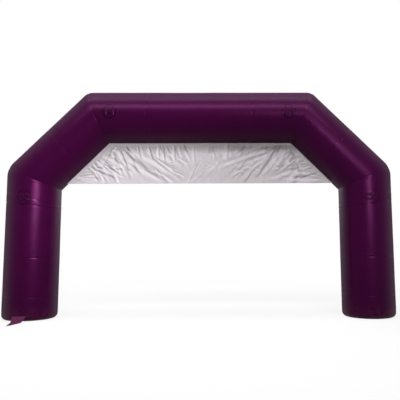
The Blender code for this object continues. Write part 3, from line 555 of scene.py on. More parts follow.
def finish_look(tree, colour, roughness, height, strength=1.0, distance=1.0, constants=None):
    """Drive a material's colour, roughness and bump, and set what stays the same all over it."""
    shader = tree.nodes["Principled BSDF"]
    bump = put(tree, "ShaderNodeBump", {"Strength": strength, "Distance": distance, "Height": height})
    for key, value in (("Base Color", colour), ("Roughness", roughness), ("Normal", bump.outputs[0])):
        tree.links.new(value, shader.inputs[key])
    for key, value in (constants or {}).items():
        shader.inputs[key].default_value = value


coat_roughness = (0.25, 0.35)
coat_edge_dulling = 0.4
weld_smoothing = 0.08
dust_dulling = 0.3


def coated_fabric(name, colour, thread, weave_height, crinkle, gloss, painted_edge_shade=0.0):
    """Woven cloth under a soft plastic coat: weave, slow tone changes, fine crinkles, and a dusty reddish
    tint near the ground that is partly a painted reflection of the ground.

    `painted_edge_shade` is how much darker its welded edges are painted, a painted shade along them.
    """
    look, tree, place = new_look(name)
    weld = put(tree, "ShaderNodeAttribute", attribute_name="weld").outputs["Fac"]
    dust_and_reflection = dusted_with_ground_reflection(tree, place, cloudy_tone(tree, place, colour, 2.2, 0.55)["Colour"])
    # Welded edges are darkened here, a painted shade along them.
    edge_shaded = scaled(tree, dust_and_reflection["Colour"], maths(tree, "MULTIPLY_ADD", weld, -painted_edge_shade, 1.0))
    creases = clouds(tree, place, 7.0, 6.0, 0.62)
    edge_on = put(tree, "ShaderNodeLayerWeight", {"Blend": 0.5}).outputs["Facing"]
    duller = mapped(tree, edge_on, (0.2, 0.85), (0.0, coat_edge_dulling))
    rough = maths(tree, "ADD", mapped(tree, creases, (0.0, 1.0), coat_roughness), duller)
    rough = maths(tree, "MULTIPLY_ADD", weld, -weld_smoothing, rough)
    rough = maths(tree, "MULTIPLY_ADD", dust_and_reflection["Mask"], dust_dulling, rough)
    coarse = maths(tree, "MULTIPLY", creases, crinkle)
    height = maths(tree, "MULTIPLY_ADD", woven(tree, thread), weave_height, coarse)
    constants = {"Specular IOR Level": gloss, "Specular Tint": (1.0, 0.22, 0.80, 1)}
    finish_look(tree, edge_shaded, rough, height, constants=constants)
    return look


plum_skin = coated_fabric("plum coated fabric", (0.0235, 0.0002, 0.0178, 1), 0.0012, 0.00003, 0.0012, 0.15)

closing_ends = (0.16, 0.08)
closing_fade = 0.05
valve_flat = 0.05
valve_flat_margin = 0.10
valve_flat_angle = 0.5
valve_hole_radius = 0.026
hole_sides = 48


def build_wall(name, outer_marks, inner_marks, closing, right_side, with_floor=False):
    """A fabric wall between its outer and inner rings, mirrored for the right side, with the air relief."""
    points, swells, cloths = [], [], []
    first, last = outer_marks[0], outer_marks[-1]
    for run, place, lift in outer_marks + inner_marks:
        shown = ramp(place, first[1] + closing_ends[0], closing_fade)
        shown *= 1 - ramp(place, last[1] - closing_ends[1] - closing_fade, closing_fade)
        if not (run is first[0] is last[0]):
            shown = 0
        ring = run.ring(place, lift + closing_seam(closing, fabric) * shown, angles)
        points.append(ring[0])
        swells.append(ring[1])
        cloths.append(ring[2])
    points, swells, cloths = (np.concatenate(x) for x in (points, swells, cloths))
    flat = nearness(cloths, valve_height, back, valve_flat, valve_flat_margin)
    away = np.minimum(np.abs(np.arctan2(cloths[:, 1], cloths[:, 0]) - back), valve_flat_angle)
    points += swells * (flat * tube_radius * (1 / np.cos(away) - 1))[:, None]
    weld, free = relief_masks(cloths)
    rows, columns = len(outer_marks), len(angles)
    around = np.concatenate((angles, [angles[0] + 2 * math.pi])) * tube_radius
    faces, maps = [], []
    for layer in (0, 1):
        quads, corners = grid_faces(rows, columns, layer * rows * columns, layer == 0, True)
        heights = cloths[::columns, 2][corners[:, :, 0]]
        faces.append(quads)
        maps.append(np.stack((around[corners[:, :, 1]], heights), 2))
    j = np.arange(columns)
    after = (j + 1) % columns
    for row in (rows - 1,) if with_floor else (rows - 1, 0):
        outside, inside = row * columns, (rows + row) * columns
        edge = [outside + j, inside + j, inside + after, outside + after]
        faces.append(np.stack(edge if row else edge[::-1], 1))
        maps.append(np.zeros((columns, 4, 2)))
    faces = [list(face) for face in np.concatenate(faces)]
    maps = np.concatenate(maps).reshape(-1, 2)
    if with_floor:
        inside = rows * columns
        faces += [list(range(columns)), list(range(inside + columns - 1, inside - 1, -1))]
        maps = np.concatenate((maps, points[:columns, :2], points[inside:inside + columns, :2][::-1]))
    if right_side:
        points = points * (-1, 1, 1)
        swells = swells * (-1, 1, 1)
        cloths = cloths * (1, 1, -1) + (0, 0, arch_length)
        starts = np.concatenate(([0], np.cumsum([len(face) for face in faces])))
        maps = maps[np.concatenate([np.arange(b - 1, a - 1, -1) for a, b in zip(starts[:-1], starts[1:])])]
        faces = [face[::-1] for face in faces]
    masks = {"cloth": cloths, "swell": swells, "weld": weld, "free": free}
    piece = add_piece(name, points, faces, plum_skin, maps, masks)
    shape_with(piece, air_relief, {"Fabric": plum_skin})
    for key in ("cloth", "swell", "free"):
        piece.data.attributes.remove(piece.data.attributes[key])
    return piece


def both_faces(marks):
    """The outer marks, and the inner marks one fabric thickness below them."""
    return marks, [(run, place, lift - fabric) for run, place, lift in marks]


def over_seam(run, seam, width):
    """Marks of the part of a wall that laps over the wall before it, and its step down."""
    lapped = stations(run, seam, seam + width, weld_gap + fabric, weld_ring_step)
    return lapped + [(run, seam + width + lap_step, 0)]


def up_to_lap(run, start, seam, width):
    """Marks of the plain part of a wall, and of the end that the next wall laps over."""
    plain = stations(run, start, seam, 0)[1:]
    return plain + stations(run, seam, seam + width, 0, weld_ring_step)[1:]


def seam_to_seam(run, seam, end, width=lap, end_width=lap):
    """Marks of a wall from the seam that it laps over to the seam at its end."""
    return over_seam(run, seam, width) + up_to_lap(run, seam + width + lap_step, end, end_width)


def mitre_to_seam(run_before, run, end):
    """Marks of a wall that laps back over a mitre and ends at a seam."""
    mitre = run_before.length
    lapped = stations(run_before, mitre - lap, mitre, weld_gap + fabric, weld_ring_step)
    return lapped + stations(run, lap_step, lap, 0, weld_ring_step) + up_to_lap(run, lap, end, lap)


def boot_marks(depth):
    """Marks of a boot, from the edge of its floor round the foot and up to the first seam."""
    marks = []
    for angle in np.linspace(0, math.pi / 2, foot_steps + 1):
        rise = foot_rounding - (foot_rounding - depth) * math.cos(angle)
        marks.append((leg, rise, -foot_rounding + (foot_rounding - depth) * math.sin(angle)))
    return marks + [(leg, place, -depth) for _, place, _ in up_to_lap(leg, foot_rounding, foot_seam, lap)]


def cut_round(piece, centre, direction, radius, reach):
    """Cut a round hole through a piece."""
    punch_mesh = bmesh.new()
    turned_to = Vector(direction).to_track_quat("Z", "Y").to_matrix().to_4x4()
    bmesh.ops.create_cone(
        punch_mesh, cap_ends=True, segments=hole_sides, radius1=radius, radius2=radius, depth=2 * reach,
        matrix=Matrix.Translation(centre) @ turned_to,
    )
    data = bpy.data.meshes.new("punch")
    punch_mesh.to_mesh(data)
    punch_mesh.free()
    punch = add_to_scene("punch", data)
    cut = piece.modifiers.new("hole", "BOOLEAN")
    cut.operation = "DIFFERENCE"
    cut.object = punch
    settled(piece)
    bpy.data.objects.remove(punch, do_unlink=True)


diagonal_seam = diagonal_length / 2 - lap
beam_seam = beam_reach - beam_seam_reach
side_walls = {
    "leg_lower": seam_to_seam(leg, foot_seam, knee_seam),
    "leg_upper": seam_to_seam(leg, knee_seam, patch_seam, end_width=patch_lap),
    "shoulder": seam_to_seam(leg, patch_seam, leg.length - lap, width=patch_lap),
    "diagonal_lower": mitre_to_seam(leg, diagonal, diagonal_seam),
    "diagonal_upper": seam_to_seam(diagonal, diagonal_seam, diagonal.length - lap),
    "beam_end": mitre_to_seam(diagonal, beam, beam_seam),
}
for side, right_side in (("left", False), ("right", True)):
    boot = build_wall(
        f"{side}_boot_skin", boot_marks(0), boot_marks(fabric), closing_angles[0], right_side, with_floor=True
    )
    fit(boot, "arch", f"{side}_foot_boot")
    for count, (part, marks) in enumerate(side_walls.items()):
        closing = closing_angles[(count + 1) % 2]
        wall = build_wall(f"{side}_{part}_skin", *both_faces(marks), closing, right_side)
        if part == "leg_lower":
            place = (leg_reach if right_side else -leg_reach, tube_radius, valve_height)
            cut_round(wall, place, (0, 1, 0), valve_hole_radius, 4 * valve_hole_radius)
        fit(wall, "arch", f"{side}_{part}")

near_half = over_seam(beam, beam_seam, lap)
far_half = [(beam, beam.length - place, lift) for _, place, lift in reversed(near_half)]
middle = near_half + stations(beam, near_half[-1][1], far_half[0][1], 0)[1:-1] + far_half
beam_wall = build_wall("beam_centre_skin", *both_faces(middle), closing_angles[0], False)
fit(beam_wall, "arch", "beam_centre")


# Guy points
# Eight round patches of the same fabric are welded on the front and the back of the legs and of the beam's
# ends. On each, dark webbing is folded round the bar of a blackened D-ring and sewn down with a crossed box.
patch_steps = 46
patch_thickness = 0.0012
patch_edge_thickness = 0.0005
patch_middle = (0.075, 0.115)
patch_edge_share, patch_edge_width_share = 0.93, 0.07
patch_rim_share, patch_rim_width_share = 0.80, 0.08
track_depth = 0.0004
track_share, track_width_share = 0.86, 0.03
ridge_height = 0.0075
ridge_width = 0.0115
ridge_outer_fade = 0.06
ridge_inner_fade = 0.03
ridge_places = {True: (0.048, 0.036, 0.125), False: (0.074, 0.0, 0.115)}
webbing_thickness = 0.0022
webbing_edge = 0.0030
webbing_edge_thinning = 0.35
webbing_steps = 12
eye_steps = 28
tail_steps = 12
stitch_box = (0.019, 0.013, 0.047)
ring_straight = 0.010
ring_fillet = 0.006
ring_fillet_steps = 5
ring_bow_steps = 36
ring_sides = 18


def turned_outwards(piece, fill_ends=False):
    """The piece with its open ends filled where asked, and every face turned outwards."""
    mesh = bmesh.new()
    mesh.from_mesh(piece.data)
    if fill_ends:
        bmesh.ops.holes_fill(mesh, edges=mesh.edges, sides=0)
    bmesh.ops.recalc_face_normals(mesh, faces=mesh.faces)
    mesh.to_mesh(piece.data)
    mesh.free()
    return piece


def map_cloth(piece, flat):
    """Give a piece its map of the flat cloth in metres, from one place for each of its points."""
    corners = np.zeros(len(piece.data.loops), np.int32)
    piece.data.loops.foreach_get("vertex_index", corners)
    layer = piece.data.uv_layers.new(name="cloth")
    layer.data.foreach_set("uv", flat[corners].astype(np.float32).ravel())


def cloth_piece(name, upper, lower, looks, flat, weld=None):
    """A closed sheet between an upper and a lower grid of points, with a map of the flat cloth in metres."""
    rows, columns = upper.shape[:2]
    count = rows * columns
    points = np.concatenate((upper.reshape(-1, 3), lower.reshape(-1, 3)))
    faces = [grid_faces(rows, columns, 0, True, False)[0], grid_faces(rows, columns, count, False, False)[0]]
    grid = np.arange(count).reshape(rows, columns)
    border = np.concatenate((grid[0, :-1], grid[:-1, -1], grid[-1, :0:-1], grid[:0:-1, 0]))
    after = np.roll(border, -1)
    faces.append(np.stack((border, after, after + count, border + count), 1))
    masks = None if weld is None else {"weld": np.tile(weld.ravel(), 2)}
    piece = turned_outwards(add_piece(name, points, np.concatenate(faces), looks, attributes=masks))
    map_cloth(piece, np.tile(flat.reshape(-1, 2), (2, 1)))
    return piece


def round_piece(name, rings, looks, closed=True):
    """A piece through rings of points, each joined to the next, and the last one to the first if closed."""
    count, sides = rings.shape[:2]
    i, j = np.meshgrid(np.arange(count if closed else count - 1), np.arange(sides), indexing="ij")
    i, j = i.ravel(), j.ravel()
    k, m = (i + 1) % count, (j + 1) % sides
    faces = np.stack((i * sides + j, i * sides + m, k * sides + m, k * sides + j), 1)
    return turned_outwards(add_piece(name, rings.reshape(-1, 3), faces, looks), fill_ends=not closed)


def unit(vectors):
    """Each vector at a length of 1."""
    return vectors / np.linalg.norm(vectors, axis=-1, keepdims=True)


def round_rod(name, path, first, second, radius, sides, looks, closed=True):
    """A round rod along a path, given two directions that are square to the path at each of its points."""
    turns = 2 * math.pi * np.arange(sides)[:, None] / sides
    rings = path[:, None] + radius * (np.cos(turns) * first[:, None] + np.sin(turns) * second[:, None])
    return round_piece(name, rings, looks, closed)


def on_tube(centre, along_z, outwards, way, around, lift):
    """Points on the front or back of the tube, from a way along it and a way round it, lifted off it."""
    angle = around / tube_radius
    radius = tube_radius + lift
    side, out = radius * np.sin(angle), outwards * radius * np.cos(angle)
    if along_z:
        return np.stack((centre.x + side, out, centre.z + way), -1)
    return np.stack((centre.x + way, out, centre.z + side), -1)


sewn_rows, given = geometry_tree("sewn rows", [
    ("Pitch", "Float", 0.0045), ("Stitch", "Float", 0.0036), ("Thread", "Float", 0.0011),
    ("Look", "Material", None),
])
seam_line = put(sewn_rows, "GeometryNodeMeshToCurve", {"Mesh": given["Geometry"]})
pitch = {"Curve": seam_line.outputs[0], "Length": given["Pitch"]}
spaced = put(sewn_rows, "GeometryNodeResampleCurve", pitch, mode="LENGTH")
bead = put(sewn_rows, "GeometryNodeMeshUVSphere", {"Segments": 6, "Rings": 4, "Radius": 0.5})
bead_sizes = {0: given["Stitch"], 1: given["Thread"], 2: given["Thread"]}
bead_size = put(sewn_rows, "ShaderNodeCombineXYZ", bead_sizes)
tangent = put(sewn_rows, "GeometryNodeInputTangent").outputs[0]
heading = put(sewn_rows, "FunctionNodeAlignRotationToVector", {"Vector": tangent}, axis="X")
laid = put(sewn_rows, "GeometryNodeInstanceOnPoints", {
    "Points": spaced.outputs[0], "Instance": bead.outputs[0], "Rotation": heading.outputs[0],
    "Scale": bead_size.outputs[0],
})
end_tree(sewn_rows, laid.outputs[0], given["Look"])


def sew(name, lines, look, body, slot, **sizes):
    """Rows of stitches along lines of points, as one piece that rides on a body."""
    data = bpy.data.meshes.new(name)
    points, edges = [], []
    for line in lines:
        edges += [(len(points) + k, len(points) + k + 1) for k in range(len(line) - 1)]
        points += [tuple(point) for point in line]
    data.from_pydata(points, edges, [])
    rows = shape_with(add_to_scene(name, data), sewn_rows, {"Look": look, **sizes})
    rows.data.shade_smooth()
    fit(rows, body)
    return rows


def woven_tape(name, colour, rib, roughness):
    """Heavy woven tape: ribs across it, fine threads, uneven dye and fluff that goes dusty, with a painted
    reddish ground reflection low down.
    """
    look, tree, place = new_look(name)
    tone = cloudy_tone(tree, place, colour, 60.0, 0.9)
    dust_and_reflection = dusted_with_ground_reflection(tree, place, tone["Colour"], reach=0.2)
    rough = mapped(tree, tone["Mask"], (0.0, 1.0), (roughness - 0.1, roughness + 0.1))
    height = maths(tree, "MULTIPLY_ADD", clouds(tree, place, 900.0, 3.0), 0.3, woven(tree, rib))
    constants = {"Specular IOR Level": 0.15, "Specular Tint": (1.0, 0.45, 0.85, 1)}
    finish_look(tree, dust_and_reflection["Colour"], rough, height, 0.8, 0.0004, constants)
    return look


def worn_metal(name, colour, roughness, spots):
    """Metal with fine scratches, dull spots and dirt in patches."""
    look, tree, place = new_look(name)
    tone = cloudy_tone(tree, place, colour, spots, 0.5)
    rough = mapped(tree, tone["Mask"], (0.3, 0.7), (roughness, roughness + 0.25))
    finish_look(tree, tone["Colour"], rough, clouds(tree, place, 1400.0, 2.0), 0.3, 0.0001, {"Metallic": 1.0})
    return look


# The patches' outer rims are darkened in colour, a painted shade ring round each patch, much deeper on the
# beam's patches than on the legs'.
patch_skins = {}
for on_leg, name, painted_edge_shade in ((True, "plum leg patch fabric with light painted rim shade", 0.30), (False, "plum beam patch fabric with deep painted rim shade", 0.85)):
    patch_colour = (0.021, 0.0002, 0.016, 1)
    patch_skins[on_leg] = coated_fabric(name, patch_colour, 0.0014, 0.00004, 0.0008, 0.14, painted_edge_shade)
plum_webbing = woven_tape("dark plum webbing", (0.0050, 0.0007, 0.0038, 1), 0.0016, 0.70)
dark_thread = woven_tape("plum thread", (0.10, 0.02, 0.08, 1), 0.0004, 0.55)
ring_steel = worn_metal("black oxide steel", (0.012, 0.004, 0.010, 1), 0.24, 180.0)

# A square grid pressed into a disc, in metres, and each point's distance out as a share of the radius.
side_share = np.linspace(-1, 1, patch_steps + 1)
share_a, share_b = np.meshgrid(side_share, side_share, indexing="ij")
disc_a = share_a * np.sqrt(1 - share_b ** 2 / 2) * patch_radius
disc_b = share_b * np.sqrt(1 - share_a ** 2 / 2) * patch_radius
disc_r = np.hypot(disc_a, disc_b)
disc_share = disc_r / patch_radius


def guy_patch(guy, centre, on_leg, outwards):
    """A welded patch, stretched into short ridges beside its webbing, and thin at its edge."""
    lift = 0
    if on_leg:
        middle = 1 - ramp(disc_r, patch_middle[0], patch_middle[1] - patch_middle[0])
        height = centre.z + disc_a
        on_lap = ramp(height, patch_seam - lap_step, lap_step)
        on_lap -= ramp(height, patch_seam + patch_lap + lap_step, lap_step)
        lift = (weld_gap + fabric) * np.maximum(middle, on_lap)
    ridge_at, ridge_from, ridge_to = ridge_places[on_leg]
    ridge = ridge_height * bell(np.abs(disc_a), ridge_at, ridge_width)
    ridge *= 1 - ramp(np.abs(disc_b), ridge_to - ridge_outer_fade, ridge_outer_fade)
    ridge *= ramp(np.abs(disc_b), ridge_from - ridge_inner_fade, ridge_inner_fade)
    edge = ramp(disc_share, patch_edge_share, patch_edge_width_share)
    thickness = patch_thickness + (patch_edge_thickness - patch_thickness) * edge
    thickness -= track_depth * bell(disc_share, track_share, track_width_share)
    lift = weld_gap + lift + ridge
    upper = on_tube(centre, on_leg, outwards, disc_a, disc_b, lift + thickness)
    lower = on_tube(centre, on_leg, outwards, disc_a, disc_b, lift)
    # The rim mask marks the painted shade ring at the patch's edge.
    rim = ramp(disc_share, patch_rim_share, patch_rim_width_share)
    flat = np.stack((disc_a, disc_b), 2)
    patch = cloth_piece(f"{guy}_patch_fabric", upper, lower, patch_skins[on_leg], flat, rim)
    fit(patch, "arch", f"{guy}_patch")


def guy_webbing(guy, centre_x, outwards):
    """A webbing folded round the D-ring's bar and sewn down. It gives the bar's place."""
    low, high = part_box(f"{guy}_webbing")
    half_width = (high.x - low.x) / 2
    eye = (high.y - low.y) / 2
    bar = Vector((centre_x, (low.y + high.y) / 2, low.z + eye))
    tail = high.z - bar.z
    loop = eye - webbing_thickness / 2
    outer_tail = loop - webbing_thickness - weld_gap
    meeting = math.acos(outer_tail / loop)
    turns = -np.linspace(0, 2 * math.pi - meeting, eye_steps + 1)
    tail_rows = np.linspace(1, 0, tail_steps, endpoint=False)
    line = [(loop, tail * share) for share in tail_rows]
    line += [(loop * math.cos(turn), loop * math.sin(turn)) for turn in turns]
    start = loop * math.sin(meeting)
    line += [(outer_tail, start + (tail - start) * share) for share in 1 - tail_rows + tail_rows[-1]]
    line = np.array(line)
    heads = unit(np.gradient(line, axis=0))
    square = np.stack((-heads[:, 1], heads[:, 0]), 1)
    across = np.linspace(-1, 1, webbing_steps + 1)
    near_edge = ramp(np.abs(across) * half_width, half_width - webbing_edge, webbing_edge)
    edge = 1 - webbing_edge_thinning * near_edge
    sides = []
    for sign in (1, -1):
        offset = line[:, None] + sign * square[:, None] * webbing_thickness / 2 * edge[None, :, None]
        x = np.broadcast_to(centre_x + across * half_width, offset.shape[:2])
        sides.append(np.stack((x, bar.y - outwards * offset[..., 0], bar.z + offset[..., 1]), 2))
    length = np.concatenate(([0], np.cumsum(np.linalg.norm(np.diff(line, axis=0), axis=1))))
    flat = np.stack(np.meshgrid(length, across * half_width, indexing="ij"), 2)
    webbing = cloth_piece(f"{guy}_webbing_fold", sides[0], sides[1], plum_webbing, flat)
    fit(webbing, "arch", f"{guy}_webbing")
    y = bar.y - outwards * (outer_tail - webbing_thickness / 2)
    reach, foot, top = stitch_box
    box = [(-reach, foot), (reach, foot), (reach, top), (-reach, top), (-reach, foot)]
    rows = [box, [box[0], box[2]], [box[1], box[3]]]
    rows = [[(centre_x + x, y, bar.z + z) for x, z in row] for row in rows]
    sew(f"{guy}_stitches", rows, dark_thread, "arch", "webbing")
    return bar


def guy_ring(guy, bar):
    """A D-ring of round wire: a straight bar with two small bends, and a half round bow under it."""
    low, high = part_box(f"{guy}_d_ring")
    wire = (high.y - low.y) / 2
    reach = (high.x - low.x) / 2 - wire
    corners = []
    for corner_x, start in ((reach - ring_fillet, 90), (-reach + ring_fillet, 180)):
        arc = np.radians(start - np.linspace(0, 90, ring_fillet_steps + 1))
        corners.append([(corner_x + ring_fillet * math.cos(a), ring_fillet * (math.sin(a) - 1)) for a in arc])
    bow = np.radians(np.linspace(0, 180, ring_bow_steps + 1))
    bow = [(reach * math.cos(a), -ring_straight - reach * math.sin(a)) for a in bow]
    path = np.array([(bar.x + x, bar.y, bar.z + z) for x, z in corners[0] + bow + corners[1]])
    along = unit(np.roll(path, -1, 0) - np.roll(path, 1, 0))
    inwards = np.stack((-along[:, 2], np.zeros(len(path)), along[:, 0]), 1)
    level = np.tile((0.0, 1.0, 0.0), (len(path), 1))
    ring = round_rod(f"{guy}_steel_ring", path, inwards, level, wire, ring_sides, ring_steel)
    fit(ring, f"{guy}_ring", f"{guy}_d_ring")


for where in ("left_leg", "right_leg", "left_beam", "right_beam"):
    for face, outwards in (("front", -1), ("back", 1)):
        guy = f"{where}_{face}"
        low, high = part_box(f"{guy}_patch")
        centre = (low + high) / 2
        guy_patch(guy, centre, where.endswith("leg"), outwards)
        guy_ring(guy, guy_webbing(guy, centre.x, outwards))


# Ground tabs
# At the foot of the left leg, front and back, and behind the right leg a blunt triangle of doubled fabric
# runs out over the ground. A welded strip holds it, its edges are folded and sewn, and a steel eyelet is
# pressed into its tip.
strip_rows = 17
strip_columns = 61
strip_thickness = 0.0015
strip_teeth = 0.0045
strip_tooth_depth = 0.0015
strip_edge = 0.003
strip_edge_thinning = 0.4
strip_track_share = 0.55
strip_track_width = 0.004
tab_rows = 92
tab_columns = 44
tab_thickness = 0.0018
tab_hem_width = 0.020
tab_hem_extra = 0.0014
tab_hem_step = 0.0025
tab_fold = 0.0012
tab_slope_reach = 0.12
tab_bend = 0.055
tab_tip_share = 0.055 / 0.26
tab_tip_round = 0.024
tab_tip_least_share = 0.35
tab_fold_share = 0.35
tab_wave = 0.0035
tab_wave_turns = (17, 9)
tab_wave_starts = {-1: 2, 1: 5}
tab_wave_rise = 0.06
tab_wave_clear = 0.14
tab_wave_fall = 0.05
stitch_inset = 0.003
stitch_end = 0.01
eyelet_hole = 0.0125
eyelet_punch_reach = 0.02
eyelet_steps = 48
eyelet_bore = 0.010
eyelet_flange = 0.019
eyelet_grip = 0.0012

# The tab's plum is painted about three times lighter and bluer than the skin's, a painted highlight for sky
# light on its flat top.
sky_lit_tab_fabric = coated_fabric("plum tab fabric painted sky lit", (0.075, 0.012, 0.055, 1), 0.0013, 0.00006, 0.0010, 0.15)
strip_fabric = coated_fabric("plum strip fabric", (0.020, 0.0003, 0.015, 1), 0.0013, 0.00004, 0.0008, 0.15)
eyelet_steel = worn_metal("nickel plated steel", (0.52, 0.50, 0.47, 1), 0.22, 240.0)


def welded_strip(where, outwards):
    """The strip that holds a tab to the leg, with pinked ends and two weld tracks. It gives its middle."""
    low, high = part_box(f"{where}_tab_strip")
    half_width, half_height = (high.x - low.x) / 2, (high.z - low.z) / 2
    place = Vector(((low.x + high.x) / 2, 0, (low.z + high.z) / 2))
    way, around = np.meshgrid(
        np.linspace(-half_height, half_height, strip_rows), np.linspace(-1, 1, strip_columns), indexing="ij"
    )
    around = around * (half_width + strip_tooth_depth * np.cos(2 * math.pi * way / strip_teeth))
    edge = 1 - strip_edge_thinning * ramp(np.abs(way), half_height - strip_edge, strip_edge)
    welded = bell(np.abs(way), half_height * strip_track_share, strip_track_width)
    top = weld_gap + strip_thickness * edge - track_depth * welded
    upper = on_tube(place, True, outwards, way, around, top)
    lower = on_tube(place, True, outwards, way, around, weld_gap + 0 * way)
    flat = np.stack((way, around), 2)
    strip = cloth_piece(f"{where}_welded_strip", upper, lower, strip_fabric, flat, welded)
    fit(strip, "arch", f"{where}_tab_strip")
    return place


def ground_tab(where, outwards, centre_x, eyelet_place):
    """A tab that leaves the wall, bends down to the ground and ends in a blunt tip with an eyelet hole."""
    low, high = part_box(f"{where}_ground_tab")
    half_width = (high.x - low.x) / 2
    hinge_y = tube_radius + weld_gap + tab_thickness / 2
    hinge_z, ground_z = high.z - tab_thickness / 2, low.z + tab_thickness / 2
    reach = max(abs(low.y), abs(high.y)) - hinge_y
    share = np.linspace(0, 1, tab_rows)
    out = share * reach
    corner = (out - tab_slope_reach + tab_bend) / (2 * tab_bend)
    fall = (hinge_z - ground_z) / tab_slope_reach
    bend_z = ground_z + fall * tab_bend * (1 - np.clip(corner, 0, 1)) ** 2
    z = np.where(corner < 0, hinge_z - fall * out, bend_z)[:, None]
    width = half_width * (1 - (1 - tab_tip_share) * share)
    from_tip = np.clip(reach - out, 0, tab_tip_round)
    rounded = np.sqrt(1 - (1 - from_tip / tab_tip_round) ** 2)
    width *= tab_tip_least_share + (1 - tab_tip_least_share) * rounded
    x = np.linspace(-1, 1, tab_columns)[None, :] * width[:, None]
    base_y = np.sqrt(hinge_y ** 2 - (x / width[:, None] * half_width) ** 2) - hinge_y
    y = hinge_y + out[:, None] + base_y * (1 - smooth(out / tab_slope_reach)[:, None])
    from_edge = np.minimum(width[:, None] - np.abs(x), (reach - out)[:, None])
    hem = 1 - ramp(from_edge, tab_hem_width, tab_hem_step)
    roll = smooth(from_edge / tab_fold + tab_fold_share)
    turns = tab_wave_turns[0] * x + tab_wave_turns[1] * out[:, None] + tab_wave_starts[outwards]
    wave = tab_wave * (0.5 + 0.5 * np.sin(turns))
    wave *= smooth(out / tab_wave_rise)[:, None]
    wave *= (1 - ramp(out, reach - tab_wave_clear, tab_wave_fall))[:, None]
    z = z + wave
    top = z + (tab_thickness / 2 + tab_hem_extra * hem) * roll
    upper = np.stack((centre_x + x, outwards * y, top), 2)
    lower = np.stack((centre_x + x, outwards * y, z - tab_thickness / 2 * roll), 2)
    flat = np.stack((np.broadcast_to(out[:, None], x.shape), x), 2)
    tab = cloth_piece(f"{where}_fabric_tab", upper, lower, sky_lit_tab_fabric, flat, hem)
    cut_round(tab, eyelet_place, (0, 0, 1), eyelet_hole, eyelet_punch_reach)
    fit(tab, f"{where}_tab", f"{where}_ground_tab")
    lines = []
    for sign in (-1, 1):
        line = []
        for k in range(2, tab_rows):
            if out[k] < reach - tab_hem_width - stitch_end:
                line_x = sign * (width[k] - tab_hem_width + stitch_inset)
                line_y = y[k, 0] + (y[k, tab_columns // 2] - y[k, 0]) * (1 - (line_x / width[k]) ** 2)
                line.append((centre_x + line_x, outwards * line_y, np.interp(line_x, x[k], top[k])))
        lines.append(line)
    sew(f"{where}_hem_stitches", lines, dark_thread, f"{where}_tab", "trim", Pitch=0.006, Stitch=0.0048)


def turned_ring(name, centre, profile, steps, looks, upright=True):
    """A ring turned about an upright or a front to back axis, from a closed profile of (radius, way)."""
    turns = 2 * math.pi * np.arange(steps) / steps
    radius, height = np.array(profile).T
    first = np.cos(turns)[:, None] * radius
    second = np.sin(turns)[:, None] * radius
    along = np.broadcast_to(height, first.shape)
    rings = np.stack((first, second, along) if upright else (first, along, second), 2)
    return round_piece(name, rings + np.array(tuple(centre)), looks)


for where, outwards in (("left_front", -1), ("left_back", 1), ("right_back", 1)):
    low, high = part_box(f"{where}_tab_eyelet")
    middle, half = (low + high) / 2, (high.z - low.z) / 2
    ground_tab(where, outwards, welded_strip(where, outwards).x, middle)
    # Round the section from the bore: a flat washer below, the grip on the cloth, and a rolled rim on top.
    bore, rim = eyelet_bore, eyelet_flange
    profile = [
        (bore, -half + 0.0009), (bore + 0.0006, -half + 0.0003), (bore + 0.0014, -half),
        (rim - 0.0008, -half), (rim, -half + 0.0005), (rim - 0.0004, -eyelet_grip),
        (bore + 0.0022, -eyelet_grip), (bore + 0.0022, eyelet_grip),
        (rim - 0.0004, eyelet_grip), (rim, half - 0.0005), (rim - 0.002, half - 0.0001),
        (bore + 0.0036, half), (bore + 0.0014, half - 0.0001), (bore + 0.0004, half - 0.0006),
        (bore, half - 0.0016),
    ]
    eyelet = turned_ring(f"{where}_steel_eyelet", middle, profile, eyelet_steps, eyelet_steel)
    fit(eyelet, f"{where}_tab", f"{where}_tab_eyelet")


# Grip strips
# Hook-and-loop tape is welded along the underside of the beam and of both diagonals, and the banner's flange
# presses onto it. The tape is knitted, so it has fine cross ribs and a flat selvedge on both sides.
tape_thickness = 0.002
tape_columns = 13
rib_pitch = 0.008
rib_height = 0.0004
selvedge = 0.004
selvedge_step = 0.002

grip_tape = woven_tape("dark hook and loop tape", (0.020, 0.006, 0.018, 1), 0.0009, 0.75)
for tape in ("beam", "left_diagonal", "right_diagonal"):
    low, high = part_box(f"{tape}_grip_strip")
    if tape == "beam":
        start, end = Vector((low.x, 0, (low.z + high.z) / 2)), Vector((high.x, 0, (low.z + high.z) / 2))
    else:
        inset = tape_thickness / 2 * math.sqrt(0.5)
        start, end = Vector((low.x + inset, 0, low.z + inset)), Vector((high.x - inset, 0, high.z - inset))
        if tape == "right_diagonal":
            start.z, end.z = end.z, start.z
    along = (end - start).normalized()
    inwards = np.array((along.z, 0, -along.x))
    length = (end - start).length
    steps = 2 * round(length / rib_pitch)
    way, side = np.meshgrid(
        np.linspace(0, length, steps + 1), np.linspace(low.y, high.y, tape_columns), indexing="ij"
    )
    from_side = np.minimum(side - low.y, high.y - side)
    ribs = rib_height * np.cos(2 * math.pi * way / rib_pitch) * ramp(from_side, selvedge, selvedge_step)
    middle = np.array(start) + way[..., None] * np.array(along) + side[..., None] * np.array((0, 1, 0))
    upper = middle - tape_thickness / 2 * inwards
    lower = middle + (tape_thickness / 2 - rib_height + ribs)[..., None] * inwards
    strip = cloth_piece(f"{tape}_grip_tape", upper, lower, grip_tape, np.stack((way, side), 2))
    fit(strip, "arch", f"{tape}_grip_strip")


